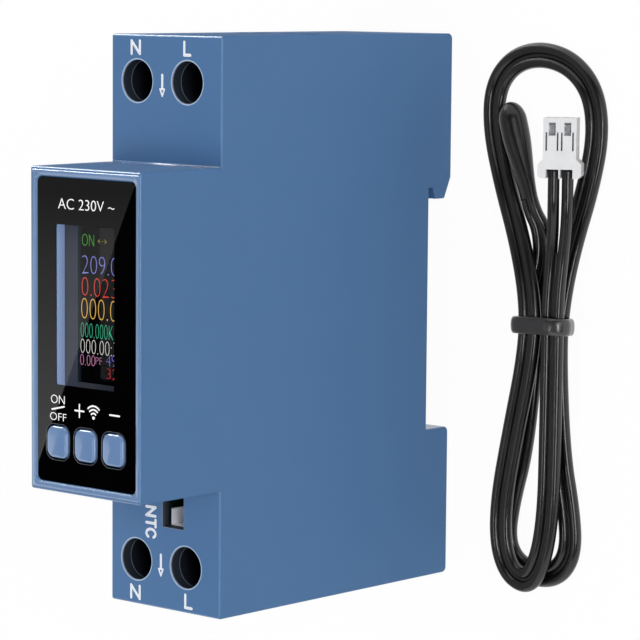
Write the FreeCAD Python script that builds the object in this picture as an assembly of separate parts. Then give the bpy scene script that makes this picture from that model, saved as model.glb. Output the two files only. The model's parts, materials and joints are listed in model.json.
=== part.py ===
import FreeCAD, Part
import math
import os

# Slim ac power meter for a 35 mm mounting rail, with its temperature probe lead in a tied hank.
# Sizes are in millimetres. +Z points out of the display, +Y to the upper terminals and +X to the
# side cover. The origin is the middle of the back face, which also is the face it lies on.

V = FreeCAD.Vector

# Outer sizes of the case
width = 21.5
height = 81.0
shoulder_depth = 49.6
nose_depth = 15.7
nose_height = 45.0
edge_round = 0.4
corner_round = 0.8

# Walls
side_wall = 1.6
cover_thickness = 1.5
end_wall = 1.8
front_wall = 1.6
rib = 1.2
running_gap = 0.1
seat_gap = 0.05

# Mounting rail and the notch for it
rail_width = 35.0
rail_play = 0.5
rail_middle_y = -0.3
notch_depth = 5.05
hook_reach = 1.65
hook_root_z = 4.05
hook_tip_z = 3.5
hook_tip_back_z = 1.45
hook_lead_in = 1.5
block_round = 0.8

# Terminals
terminal_side = 3.5
terminal_cover_side = 5.15
terminal_end = 6.5
access_radius = 3.0
entry_radius = 3.0
cage_width = 6.4
cage_length = 6.4
cage_wall = 0.9
cage_plate = 1.2
cage_thread_plate = 1.6
cage_bottom_z = 22.0
cage_opening = 8.4
chamber_gap = 0.35
partition = 1.0
screw_radius = 1.95
screw_thread_pitch = 0.7
screw_head_radius = 2.7
screw_head_height = 2.8
screw_shelf = 1.6
screw_shelf_z = 38.4
drive_slot_width = 0.8
drive_slot_length = 4.4
drive_slot_depth = 1.3
busbar_thickness = 1.0
busbar_z = 29.0
busbar_width = 4.2
busbar_leg = 2.0
busbar_leg_end_n = 1.4
busbar_leg_end_l = 3.8
busbar_overhang = 3.0

# Front panel, its window, the display and the buttons
panel_rim_left = 1.35
panel_rim_right = 1.05
panel_rim_end = 1.4
panel_thickness = 1.35
mask_thickness = 0.15
panel_sink = 0.1
panel_round = 0.9
recess_chamfer = 0.2
window_width = 11.4
window_height = 22.15
window_x = -0.05
window_y = 3.625
window_round = 0.3
display_active_width = 10.8
display_active_height = 22.3
display_active_y = 3.75
display_y = 2.85
display_side_gap = 0.7
display_height = 29.2
display_sink = 4.5
display_glass_thickness = 0.55
collar_side_gap = 1.25
collar_height = 26.0
collar_wall = 0.7
button_margin = 1.75
button_web = 0.8
button_shift = 0.13
button_y = -15.5
button_hole_height = 5.0
button_hole_round = 1.5
button_gap = 0.25
button_proud = 0.45
button_edge = 0.25
button_flange_gap = 0.17
button_flange_height = 6.4
button_flange_thickness = 0.7
button_flange_round = 1.0
button_stem_radius = 1.2
button_travel = 0.3
switch_width = 4.0
switch_length = 4.0
switch_height = 1.8
plunger_radius = 1.0
plunger_proud = 0.6

# Boards
front_board_thickness = 1.2
front_board_z = 57.0
front_board_end_gap = 0.3
front_board_ledge = 1.1
board_post_radius = 1.5
board_post_end = 1.4
board_post_side = 2.4
board_screw_radius = 0.9
board_screw_head_radius = 1.6
board_screw_head = 1.2
board_screw_slot = 0.5
board_screw_length = 4.0
board_hole_gap = 0.2
board_edge_gap = 0.25
main_board_thickness = 1.6
main_board_standoff = 0.75
main_board_end_gap = 0.45
main_board_low_z = 8.0
main_board_top_gap = 0.4
stake_radius = 0.9
stake_proud = 0.6
stake_end = 4.5
stake_side = 4.0
stake_boss_radius = 2.0
header_pin_count = 5
header_pin_pitch = 2.54
header_pin_radius = 0.32
header_size = 2.5

# Parts on the main board: width along y, height along z, depth off the board, and their places
relay_length = 28.0
relay_height = 12.5
relay_cover_gap = 1.05
relay_place = (-8.0, 16.0)
transformer_core = (12.0, 10.0, 11.5)
transformer_winding = (8.8, 12.4, 8.3)
transformer_place = (16.0, 15.5)
capacitor_radius = 4.0
capacitor_depth = 12.0
capacitor_ys = (4.0, 12.8)
capacitor_z = 28.2
varistor_radius = 5.0
varistor_thickness = 3.6
varistor_stand = 0.6
varistor_leg_radius = 0.35
varistor_leg_spread = 5.0
varistor_place = (-19.5, 33.2)
shunt_size = (12.0, 5.0, 3.4)
shunt_thickness = 1.0
shunt_place = (-7.0, 28.5)
metering_chip_size = (10.0, 6.0, 1.7)
metering_chip_place = (-6.0, 37.5)
memory_chip_size = (5.0, 4.0, 1.5)
memory_chip_place = (-17.5, 38.5)
wireless_card = (16.0, 11.0, 0.8)
wireless_can = (10.8, 9.8, 2.1)
wireless_can_shift = -1.8
wireless_place = (10.6, 38.8)

# Case pegs of the side cover
peg_radius = 1.2
peg_boss_radius = 2.3
peg_length = 7.2
peg_fit = 0.05
peg_low_shift = 0.5
peg_low_z = 13.5
peg_high_wall_gap = 0.2
peg_high_step = 2.0

# Probe socket
socket_x = 1.6
socket_partition_gap = 0.45
port_width = 4.2
port_height = 5.8
socket_wall = 0.45
socket_recess_x = 4.2
socket_recess_y = 5.5
socket_depth = 7.8
socket_base = 1.8
contact_pitch = 2.0
contact_radius = 0.25
contact_stand = 2.3
contact_drop = 1.6

# Rail latch and its spring
latch_x = -0.75
latch_width = 9.0
latch_low_z = 1.3
latch_high_z = 3.9
latch_rib_width = 5.6
latch_rib_z = 0.25
latch_nose = 1.4
latch_travel = 3.0
latch_foot = 0.2
latch_window_width = 3.2
latch_window_top = 22.0
latch_peg_y = 30.0
latch_peg_length = 1.5
pull_slot_width = 4.0
pull_slot_height = 1.2
pull_slot_end = 1.4
pull_slot_depth = 0.8
spring_wire = 0.2
spring_coil_radius = 0.95
spring_turns = 7
spring_seat_gap = 0.02

# Probe lead: two insulated wires side by side, tied in a hank that lies beside the case
wire_radius = 0.85
wire_pitch = 2.0
floor_gap = 0.05
layer_step = 2.18
waist_x = 30.0
waist_column = 4.16
waist_lean = 1.0
waist_upper_y = 2.4
waist_lower_y = -5.0
tie_thickness = 0.7
tie_length = 2.9
tie_gap = 0.05
tie_slack = 0.35
tie_round = 0.5

# Each turn of the hank: its tip, its swing on the way out and back, and its two shape powers
first_turn = {"tip": (29.3, -38.6), "swing": (-7.3, -5.7), "reach": 0.7, "flare": 0.7}
upper_turn = {"tip": (27.9, 38.0), "swing": (10.7, 10.1), "reach": 1.1, "flare": 0.5}
second_turn = {"tip": (28.0, -39.3), "swing": (-4.4, -2.3), "reach": 0.8, "flare": 0.05}
lower_turn_points = 9
upper_turn_points = 11

# Sensor bead and plug at the two ends of the lead
bead_radius = 2.0
bead_length = 14.4
bead_end = (27.2, 16.95)
bead_lean = 16.0
bead_roll = -30.0
pocket_depth = 1.2
pocket_gap = 0.05
plug_place = (35.19, 20.45, 5.22)
plug_roll = -30.0
plug_width = 4.75
plug_thickness = 3.9
plug_length = 8.6
plug_flange_width = 6.2
plug_flange_height = 2.05
plug_flange_slope = 0.7
plug_pitch = 2.2
plug_cavity_width = 1.4
plug_cavity_depth = 2.0
plug_window_width = 1.0
plug_window_height = 1.85
plug_window_end = 0.65
plug_slot_width = 0.25
plug_slot_length = 2.6
plug_tongue_width = 1.35
plug_ledge = 0.2
plug_notch_length = 1.3

# Places that follow from the sizes above
left = -width/2
right = width/2
seam = right - cover_thickness
inner_left = left + side_wall
half_height = height/2
inner_end = half_height - end_wall
nose_half = nose_height/2
front = shoulder_depth + nose_depth
shoulder_inner = shoulder_depth - end_wall
slot_top = rail_middle_y + rail_width/2 + rail_play
block_top = rail_middle_y - rail_width/2 - rail_play
hook_tip = slot_top - hook_reach
notch_floor = notch_depth + side_wall
terminal_x = {"n": inner_left + terminal_side, "l": seam - terminal_cover_side}
terminal_y = half_height - terminal_end
partition_outer = terminal_y - cage_length/2 - chamber_gap
partition_inner = partition_outer - partition
divider_x = (terminal_x["n"] + terminal_x["l"])/2
chamber_floor = cage_bottom_z - chamber_gap
panel_top = front - panel_sink
mask_bottom = panel_top - mask_thickness
panel_bottom = mask_bottom - panel_thickness
wall_back = panel_bottom - front_wall
display_front = panel_top - display_sink
front_board_top = front_board_z + front_board_thickness
board_face = inner_left + main_board_standoff + main_board_thickness
switch_top = front_board_top + switch_height
plunger_top = switch_top + plunger_proud
cage_top_z = cage_bottom_z + cage_plate + cage_opening + cage_thread_plate
entry_z = (cage_bottom_z + cage_plate + busbar_z)/2
screw_seat = screw_shelf_z + screw_shelf + running_gap
bead_z = floor_gap + 1.06*bead_radius
panel_width = width - panel_rim_left - panel_rim_right
panel_height = nose_height - 2*panel_rim_end
panel_x = (panel_rim_left - panel_rim_right)/2
display_width = seam - inner_left - 2*display_side_gap
collar_width = seam - inner_left - 2*collar_side_gap
button_hole_width = (panel_width - 2*button_margin - 2*button_web)/3
button_pitch = button_hole_width + button_web
button_flange_width = button_pitch - button_flange_gap
front_board_height = nose_height - 2*side_wall - 2*front_board_end_gap
board_post_y = front_board_height/2 - board_post_end
board_post_x = seam - board_edge_gap - board_post_side
main_board_height = 2*(partition_inner - main_board_end_gap)
main_board_high_z = shoulder_inner - main_board_top_gap
stake_y = main_board_height/2 - stake_end
stake_low_z = main_board_low_z + stake_side
stake_high_z = main_board_high_z - stake_side
relay_size = (relay_length, relay_height, seam - board_face - relay_cover_gap)
busbar_board_y = {"n": main_board_height/2 - busbar_leg_end_n, "l": main_board_height/2 - busbar_leg_end_l}
peg_low_y = terminal_y + peg_low_shift
peg_high_y = nose_half - side_wall - peg_boss_radius - peg_high_wall_gap
peg_high_z = shoulder_depth + peg_high_step
socket_y = socket_partition_gap + socket_wall + socket_recess_y/2 - partition_inner


def box(x0, x1, y0, y1, z0, z1):
    return Part.makeBox(x1 - x0, y1 - y0, z1 - z0, V(x0, y0, z0))


def rod(radius, start, end):
    axis = V(*end) - V(*start)
    return Part.makeCylinder(radius, axis.Length, V(*start), axis)


def join(shapes):
    whole = shapes[0]
    for shape in shapes[1:]:
        whole = whole.fuse(shape)
    return whole.removeSplitter()


def mirrored_y(places):
    return [(x, side*y) for side in (1, -1) for x, y in places]


# Outline with round corners: each corner has a point and a radius, and 0 leaves it sharp
def rounded_wire(corners):
    count = len(corners)
    edges = []
    ends = []
    for i in range(count):
        point, radius = corners[i]
        to_last = (corners[i - 1][0] - point).normalize()
        to_next = (corners[(i + 1) % count][0] - point).normalize()
        if radius <= 0:
            ends.append((point, point, None))
            continue
        half_turn = to_last.getAngle(to_next)/2
        reach = radius/math.tan(half_turn)
        inward = (to_last + to_next).normalize()
        middle = point + inward*(radius/math.sin(half_turn) - radius)
        ends.append((point + to_last*reach, point + to_next*reach, middle))
    for i in range(count):
        start, end, middle = ends[i]
        if middle is not None:
            edges.append(Part.Arc(start, middle, end).toShape())
        following = ends[(i + 1) % count][0]
        if (following - end).Length > 1e-6:
            edges.append(Part.LineSegment(end, following).toShape())
    return Part.Wire(edges)


# Level rectangle with round corners, centred on x and y
def rounded_outline(x, y, size_x, size_y, z, radius):
    hx = size_x/2
    hy = size_y/2
    return rounded_wire([(V(x - hx, y - hy, z), radius), (V(x + hx, y - hy, z), radius),
                         (V(x + hx, y + hy, z), radius), (V(x - hx, y + hy, z), radius)])


# Block with upright edges rounded, centred on x and y, standing from z0 to z1
def rounded_block(x, y, size_x, size_y, z0, z1, radius):
    outline = rounded_outline(x, y, size_x, size_y, z0, radius)
    return Part.Face(outline).extrude(V(0, 0, z1 - z0))


# Side view of the case: shoulders, nose, rail notch, hook and latch block
def case_blank(x0, x1, round_at):
    outline = [(half_height, 0, corner_round), (half_height, shoulder_depth, edge_round),
               (nose_half, shoulder_depth, 0), (nose_half, front, edge_round),
               (-nose_half, front, edge_round), (-nose_half, shoulder_depth, 0),
               (-half_height, shoulder_depth, edge_round), (-half_height, 0, corner_round),
               (block_top, 0, block_round), (block_top, notch_depth, 0),
               (slot_top, notch_depth, 0), (slot_top, hook_root_z, 0),
               (hook_tip, hook_tip_z, 0.3), (hook_tip, hook_tip_back_z, 0.3),
               (slot_top + hook_lead_in, 0, 0)]
    corners = [(V(x0, y, z), radius) for y, z, radius in outline]
    blank = Part.Face(rounded_wire(corners)).extrude(V(x1 - x0, 0, 0))
    rim = [edge for edge in blank.Edges if on_plane(edge, round_at)]
    return blank.makeFillet(edge_round*0.7, rim)


def on_plane(edge, x):
    return abs(edge.BoundBox.XMin - x) < 1e-6 and abs(edge.BoundBox.XMax - x) < 1e-6


# Seat of the front panel, with a small chamfer round its mouth
def panel_recess():
    wide = panel_width + 2*seat_gap
    high = panel_height + 2*seat_gap
    seat = rounded_block(panel_x, 0, wide, high, panel_bottom, front + 1, panel_round)
    chamfer = []
    for step in (-recess_chamfer, recess_chamfer):
        grown = 2*(step + recess_chamfer)
        chamfer.append(rounded_outline(panel_x, 0, wide + grown, high + grown, front + step,
                                       panel_round + grown/2))
    return seat.fuse(Part.makeLoft(chamfer, True, True))


def button_places():
    return [window_x + button_shift + button_pitch*i for i in (-1, 0, 1)]


def button_openings(z0, z1):
    return [rounded_block(x, button_y, button_hole_width, button_hole_height, z0, z1,
                          button_hole_round) for x in button_places()]


def latch_channel():
    wide = latch_width/2 + 1.5*running_gap
    narrow = latch_rib_width/2 + running_gap
    body = box(latch_x - wide, latch_x + wide, -half_height - 1, block_top + 1,
               latch_low_z - running_gap, latch_high_z + running_gap)
    slit = box(latch_x - narrow, latch_x + narrow, -half_height - 1, block_top + 1,
               -1, latch_low_z)
    return body.fuse(slit)


# Post inside the latch channel that the spring stands on
def latch_peg():
    half_peg = latch_window_width/2 - 3*running_gap
    return box(latch_x - half_peg, latch_x + half_peg, -latch_peg_y - latch_peg_length,
               -latch_peg_y, latch_low_z + 2*running_gap, latch_high_z + 2*running_gap)


def peg_places():
    return mirrored_y([(peg_low_z, peg_low_y), (peg_high_z, peg_high_y)])


def stake_places():
    return [(side*stake_y, z) for side in (1, -1) for z in (stake_low_z, stake_high_z)]


# Left shell with all walls, ribs, bosses and the latch channel
def make_housing_tub():
    shell = case_blank(left, seam, left)
    hollows = [
        box(inner_left, seam, -partition_inner, partition_inner, notch_floor, shoulder_inner),
        box(inner_left, seam, -nose_half + side_wall, nose_half - side_wall,
            shoulder_inner - 1, wall_back),
        box(inner_left, seam, slot_top + 2*side_wall, partition_inner, end_wall, notch_floor + 1),
        box(inner_left, seam, partition_outer, inner_end, end_wall, chamber_floor - rib),
        box(inner_left, seam, -inner_end, -partition_outer, notch_floor, chamber_floor - rib),
    ]
    for y0, y1 in ((partition_outer, inner_end), (-inner_end, -partition_outer)):
        for x0, x1 in ((inner_left, divider_x - rib/2), (divider_x + rib/2, seam)):
            hollows.append(box(x0, x1, y0, y1, chamber_floor, screw_shelf_z))
            hollows.append(box(x0, x1, y0, y1, screw_shelf_z + screw_shelf, shoulder_inner))
    for hollow in hollows:
        shell = shell.cut(hollow)
    adds = []
    for z, y in peg_places():
        adds.append(rod(peg_boss_radius, (inner_left, y, z), (seam - running_gap, y, z)))
    for y, z in stake_places():
        adds.append(rod(stake_boss_radius, (inner_left, y, z),
                        (inner_left + main_board_standoff, y, z)))
        adds.append(rod(stake_radius, (inner_left, y, z), (board_face + stake_proud, y, z)))
    collar_back = display_front + seat_gap
    outer = box(window_x - collar_width/2 - collar_wall, window_x + collar_width/2 + collar_wall,
                display_y - collar_height/2 - collar_wall,
                display_y + collar_height/2 + collar_wall, collar_back, wall_back)
    adds.append(outer)
    for x in (-board_post_x, board_post_x):
        adds.append(rod(board_post_radius, (x, board_post_y, front_board_top),
                        (x, board_post_y, wall_back)))
    adds.append(box(-board_post_x, board_post_x, -nose_half + side_wall,
                    -front_board_height/2 + front_board_ledge, front_board_top, wall_back))
    for shape in adds:
        shell = shell.fuse(shape)
    shell = shell.cut(latch_channel()).fuse(latch_peg())
    cuts = [panel_recess()]
    cuts.append(box(window_x - collar_width/2, window_x + collar_width/2,
                    display_y - collar_height/2, display_y + collar_height/2,
                    collar_back - 1, front))
    cuts += button_openings(wall_back - 1, front)
    for x in (-board_post_x, board_post_x):
        cuts.append(rod(board_screw_radius + seat_gap, (x, board_post_y, front_board_top - 1),
                        (x, board_post_y, front_board_top + board_screw_length)))
    for z, y in peg_places():
        cuts.append(rod(peg_radius + peg_fit, (seam - peg_length - 0.3, y, z), (seam, y, z)))
    for x in terminal_x.values():
        for side in (1, -1):
            y = side*terminal_y
            cuts.append(rod(access_radius, (x, y, shoulder_inner - 1), (x, y, shoulder_depth + 1)))
            cuts.append(rod(screw_radius + 2*seat_gap, (x, y, screw_shelf_z - 1),
                            (x, y, screw_shelf_z + screw_shelf + 1)))
            cuts.append(rod(entry_radius, (x, side*(inner_end - 1), entry_z),
                            (x, side*(half_height + 1), entry_z)))
    for y0, y1 in ((partition_inner - 1, partition_outer + 1),
                   (-partition_outer - 1, -partition_inner + 1)):
        cuts.append(box(board_face - seat_gap, terminal_x["l"] + busbar_width/2 + running_gap,
                        y0, y1, busbar_z - seat_gap, busbar_z + busbar_thickness + seat_gap))
    cuts.append(box(socket_x - port_width/2, socket_x + port_width/2,
                    socket_y - port_height/2, socket_y + port_height/2,
                    shoulder_inner - 1, shoulder_depth + 1))
    for cut in cuts:
        shell = shell.cut(cut)
    return shell.removeSplitter()


# Flat cover on the right side, with four pegs for the bosses in the tub
def make_side_cover():
    cover = case_blank(seam, right, right)
    for z, y in peg_places():
        cover = cover.fuse(rod(peg_radius, (seam - peg_length, y, z), (seam + 0.5, y, z)))
    return cover.cut(panel_recess()).removeSplitter()


def panel_sheet(z0, z1):
    sheet = rounded_block(panel_x, 0, panel_width, panel_height, z0, z1,
                          panel_round - seat_gap)
    for opening in button_openings(z0 - 1, z1 + 1):
        sheet = sheet.cut(opening)
    return sheet


# Clear sheet that fills the recess under the film
def make_face_panel():
    return panel_sheet(panel_bottom, mask_bottom)


# Glossy black film on the front of the sheet, open at the display window
def make_panel_mask():
    window = rounded_block(window_x, window_y, window_width, window_height,
                           mask_bottom - 1, panel_top + 1, window_round)
    return panel_sheet(mask_bottom, panel_top).cut(window)


def make_display_module():
    frame = rounded_block(window_x, display_y, display_width, display_height,
                          front_board_top, display_front, 0.5)
    return frame.cut(rounded_block(window_x, display_active_y, display_active_width + 2*seat_gap,
                                   display_active_height + 2*seat_gap,
                                   display_front - display_glass_thickness, front, 0.2))


def make_display_glass():
    return rounded_block(window_x, display_active_y, display_active_width, display_active_height,
                         display_front - display_glass_thickness, display_front, 0.2)


def make_front_board():
    board = box(inner_left + board_edge_gap, seam - board_edge_gap, -front_board_height/2,
                front_board_height/2, front_board_z, front_board_top)
    for x in (-board_post_x, board_post_x):
        board = board.cut(rod(board_screw_radius + board_hole_gap, (x, board_post_y, front_board_z - 1),
                              (x, board_post_y, front_board_top + 1)))
    return board


def make_board_screws():
    screws = []
    for x in (-board_post_x, board_post_x):
        shank = rod(board_screw_radius, (x, board_post_y, front_board_z - board_screw_head/2),
                    (x, board_post_y, front_board_top + board_screw_length - 0.4))
        head = rod(board_screw_head_radius, (x, board_post_y, front_board_z - board_screw_head),
                   (x, board_post_y, front_board_z))
        slot = box(x - board_screw_head_radius, x + board_screw_head_radius,
                   board_post_y - board_screw_slot/2, board_post_y + board_screw_slot/2,
                   front_board_z - board_screw_head - 1, front_board_z - board_screw_head/2)
        screws.append(shank.fuse(head).cut(slot).removeSplitter())
    return Part.makeCompound(screws)


# Button cap with its retaining flange and stem, in one piece
def make_button(x):
    cap = rounded_block(x, button_y, button_hole_width - 2*button_gap,
                        button_hole_height - 2*button_gap, wall_back - running_gap,
                        panel_top + button_proud, button_hole_round - button_gap)
    rim = [edge for edge in cap.Edges if edge.BoundBox.ZMin > panel_top]
    cap = cap.makeFillet(button_edge, rim)
    flange_top = wall_back - running_gap
    flange = rounded_block(x, button_y, button_flange_width, button_flange_height,
                           flange_top - button_flange_thickness, flange_top,
                           button_flange_round)
    stem = rod(button_stem_radius, (x, button_y, plunger_top), (x, button_y, flange_top))
    return cap.fuse(flange).fuse(stem).removeSplitter()


def make_tact_switches():
    bodies = []
    for x in button_places():
        body = rounded_block(x, button_y, switch_width, switch_length, front_board_top,
                             switch_top, 0.4)
        depth = button_travel + 0.8
        bodies.append(body.cut(rod(plunger_radius + seat_gap, (x, button_y, switch_top - depth),
                                   (x, button_y, switch_top + 1))))
    return Part.makeCompound(bodies)


def make_plunger(x):
    return rod(plunger_radius, (x, button_y, switch_top - 0.7), (x, button_y, plunger_top))


def make_main_board():
    board = box(board_face - main_board_thickness, board_face, -main_board_height/2,
                main_board_height/2, main_board_low_z, main_board_high_z)
    for y, z in stake_places():
        board = board.cut(rod(stake_radius + running_gap, (inner_left, y, z), (board_face + 1, y, z)))
    return board


# Pin header between the two boards
def make_board_header():
    half_row = header_pin_count*header_pin_pitch/2
    return box(board_face, board_face + header_size, -half_row, half_row,
               main_board_high_z - header_size, main_board_high_z)


def make_header_pins():
    x = board_face + header_size/2
    pins = []
    for i in range(header_pin_count):
        y = (i - (header_pin_count - 1)/2)*header_pin_pitch
        pins.append(rod(header_pin_radius, (x, y, main_board_high_z), (x, y, front_board_z)))
    return Part.makeCompound(pins)


# Stands a part that was drawn upright on the component side of the main board
def on_board(shape, place):
    turned = shape.copy()
    turned.Placement = FreeCAD.Placement(V(board_face, place[0], place[1]),
                                         FreeCAD.Rotation(V(0, 1, 0), V(0, 0, 1), V(1, 0, 0), "ZXY"))
    return turned


# Block of a given size, centred on its own x and y, from height z up
def upright_block(size, z=0, shift=0):
    return box(shift - size[0]/2, shift + size[0]/2, -size[1]/2, size[1]/2, z, z + size[2])


def make_relay():
    return on_board(rounded_block(0, 0, relay_size[0], relay_size[1], 0, relay_size[2], 0.6),
                    relay_place)


def make_supply_transformer():
    lift = (transformer_core[2] - transformer_winding[2])/2
    core = upright_block(transformer_core)
    return on_board(join([core, upright_block(transformer_winding, lift)]), transformer_place)


def make_supply_capacitors():
    cans = []
    for y in capacitor_ys:
        can = Part.makeCylinder(capacitor_radius, capacitor_depth)
        rim = [edge for edge in can.Edges if edge.BoundBox.ZMin > capacitor_depth/2]
        cans.append(on_board(can.makeFillet(0.5, rim), (y, capacitor_z)))
    return Part.makeCompound(cans)


def make_varistor():
    middle = varistor_stand + varistor_radius
    disc = Part.makeCylinder(varistor_radius, varistor_thickness,
                             V(0, -varistor_thickness/2, middle), V(0, 1, 0))
    legs = [rod(varistor_leg_radius, (x, 0, 0), (x, 0, middle/2))
            for x in (-varistor_leg_spread/2, varistor_leg_spread/2)]
    return on_board(join([disc] + legs), varistor_place)


def make_shunt_strip():
    span = (shunt_size[0] - 2*shunt_thickness, shunt_size[1] + 1, shunt_size[2])
    return on_board(upright_block(shunt_size).cut(upright_block(span, -shunt_thickness)),
                    shunt_place)


def make_metering_chips():
    chips = [on_board(upright_block(metering_chip_size), metering_chip_place),
             on_board(upright_block(memory_chip_size), memory_chip_place)]
    return Part.makeCompound(chips)


def make_wireless_module():
    can = upright_block(wireless_can, wireless_card[2], wireless_can_shift)
    return on_board(join([upright_block(wireless_card), can]), wireless_place)


# Connector with its mouth in the port of the lower shoulder
def make_ntc_socket():
    half_x = socket_recess_x/2 + socket_wall
    half_y = socket_recess_y/2 + socket_wall
    low = shoulder_inner - socket_depth
    body = box(socket_x - half_x, socket_x + half_x, socket_y - half_y, socket_y + half_y,
               low, shoulder_inner)
    recess = box(socket_x - socket_recess_x/2, socket_x + socket_recess_x/2,
                 socket_y - socket_recess_y/2, socket_y + socket_recess_y/2,
                 low + socket_base, shoulder_inner + 1)
    body = body.cut(recess)
    for y in contact_places():
        body = body.cut(rod(contact_radius + 0.01, (socket_x, y, low - 1),
                            (socket_x, y, low + socket_base + 1)))
    return body


def contact_places():
    return [socket_y + side*contact_pitch/2 for side in (-1, 1)]


# Bent contacts, from the socket's recess down and across to the main board
def make_ntc_contacts():
    low = shoulder_inner - socket_depth - contact_drop
    contacts = []
    for y in contact_places():
        upright = rod(contact_radius, (socket_x, y, low),
                      (socket_x, y, shoulder_inner - contact_stand))
        across = rod(contact_radius, (board_face, y, low), (socket_x, y, low))
        bend = Part.makeSphere(contact_radius, V(socket_x, y, low))
        contacts.append(join([upright, bend, across]))
    return Part.makeCompound(contacts)


# Strip from the clamp to the main board, at the upper (side 1) or lower (side -1) end
def make_busbar(pole, side):
    x = terminal_x[pole]
    x0 = max(x - busbar_width/2, inner_left + running_gap)
    x1 = x + busbar_width/2
    top = busbar_z + busbar_thickness
    tongue = box(x0, x1, partition_outer, terminal_y + busbar_overhang, busbar_z, top)
    board_y = busbar_board_y[pole]
    neck = box(max(x0, board_face), x1, board_y, partition_outer, busbar_z, top)
    leg = box(board_face, x1, board_y, board_y + busbar_leg, busbar_z, top)
    strip = join([tongue, neck, leg])
    if side < 0:
        strip = strip.mirror(V(0, 0, 0), V(0, 1, 0))
    return strip


# Screw that turns in its seat and draws the cage up
def make_terminal_screw(pole, side):
    x = terminal_x[pole]
    y = side*terminal_y
    tip = busbar_z + busbar_thickness + 2*running_gap
    shank = rod(screw_radius, (x, y, tip), (x, y, screw_seat + 0.5))
    shank = shank.makeChamfer(0.4, [edge for edge in shank.Edges
                                    if edge.BoundBox.ZMax < tip + 0.01])
    head = rod(screw_head_radius, (x, y, screw_seat), (x, y, screw_seat + screw_head_height))
    head = head.makeChamfer(0.3, [edge for edge in head.Edges
                                  if edge.BoundBox.ZMin > screw_seat + 1])
    top = screw_seat + screw_head_height
    screw = shank.fuse(head)
    for half_x, half_y in ((drive_slot_length/2, drive_slot_width/2),
                           (drive_slot_width/2, drive_slot_length/2)):
        screw = screw.cut(box(x - half_x, x + half_x, y - half_y, y + half_y,
                              top - drive_slot_depth, top + 1))
    return screw.removeSplitter()


def make_clamp_cage(pole, side):
    x = terminal_x[pole]
    y = side*terminal_y
    half_x = cage_width/2
    half_y = cage_length/2
    cage = rounded_block(x, y, cage_width, cage_length, cage_bottom_z, cage_top_z, 0.3)
    cage = cage.cut(box(x - half_x + cage_wall, x + half_x - cage_wall, y - half_y - 1,
                        y + half_y + 1, cage_bottom_z + cage_plate,
                        cage_bottom_z + cage_plate + cage_opening))
    return cage.cut(rod(screw_radius + seat_gap, (x, y, cage_top_z - cage_thread_plate - 1),
                        (x, y, cage_top_z + 1)))


# Sliding latch: its nose stands behind the rail's lower edge
def make_din_latch():
    half_wide = latch_width/2
    low_end = -half_height + latch_foot
    body = box(latch_x - half_wide, latch_x + half_wide, low_end, block_top - latch_foot,
               latch_low_z, latch_high_z)
    nose_points = [V(latch_x - half_wide, block_top - 1, latch_low_z),
                   V(latch_x - half_wide, block_top + latch_nose/2, latch_low_z),
                   V(latch_x - half_wide, block_top + latch_nose, latch_high_z - 0.9),
                   V(latch_x - half_wide, block_top + latch_nose, latch_high_z),
                   V(latch_x - half_wide, block_top - 1, latch_high_z)]
    nose = Part.Face(Part.makePolygon(nose_points + [nose_points[0]])).extrude(V(latch_width, 0, 0))
    half_rib = latch_rib_width/2
    ridge = box(latch_x - half_rib, latch_x + half_rib, low_end, block_top - 1,
                latch_rib_z, latch_low_z)
    half_window = latch_window_width/2
    window = box(latch_x - half_window, latch_x + half_window,
                 -latch_peg_y - latch_peg_length - running_gap, -latch_window_top,
                 latch_low_z, latch_high_z + 1)
    pull_slot = box(latch_x - pull_slot_width/2, latch_x + pull_slot_width/2,
                    low_end + pull_slot_end, low_end + pull_slot_end + pull_slot_height,
                    latch_rib_z - 1, latch_rib_z + pull_slot_depth)
    return join([body, nose, ridge]).cut(window).cut(pull_slot)


# Path of two arcs between each pair of points, smooth at every joint
def arc_path(points, tangents):
    edges = []
    for i in range(len(points) - 1):
        p0, p1 = points[i], points[i + 1]
        t0, t1 = tangents[i], tangents[i + 1]
        chord = p1 - p0
        along = chord.dot(t0 + t1)
        spread = 2*(1 - t0.dot(t1))
        if spread < 1e-9:
            reach = chord.dot(chord)/(4*chord.dot(t1))
        else:
            reach = (-along + math.sqrt(along*along + spread*chord.dot(chord)))/spread
        meet = (p0 + t0*reach + p1 - t1*reach)*0.5
        edges.append(tangent_arc(p0, t0, meet))
        edges.append(tangent_arc(p1, t1*-1, meet, True))
    return Part.Wire(edges)


# Arc that leaves start along the tangent and reaches end, or a line where it doesn't bend
def tangent_arc(start, tangent, end, backwards=False):
    chord = end - start
    bend = chord.normalize().cross(tangent).Length
    chord = end - start
    if bend < 1e-5:
        if backwards:
            return Part.LineSegment(end, start).toShape()
        return Part.LineSegment(start, end).toShape()
    half_angle = math.asin(min(1.0, bend))
    unit = V(chord).normalize()
    if unit.dot(tangent) < 0:
        half_angle = math.pi - half_angle
    outward = (tangent - unit*unit.dot(tangent)).normalize()
    middle = start + chord*0.5 + outward*(chord.Length/2*math.tan(half_angle/2))
    if backwards:
        return Part.Arc(end, middle, start).toShape()
    return Part.Arc(start, middle, end).toShape()


def tube(path, start, tangent, radius):
    ring = Part.Wire([Part.Circle(start, tangent, radius).toShape()])
    return path.makePipeShell([ring], True, False)


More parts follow.
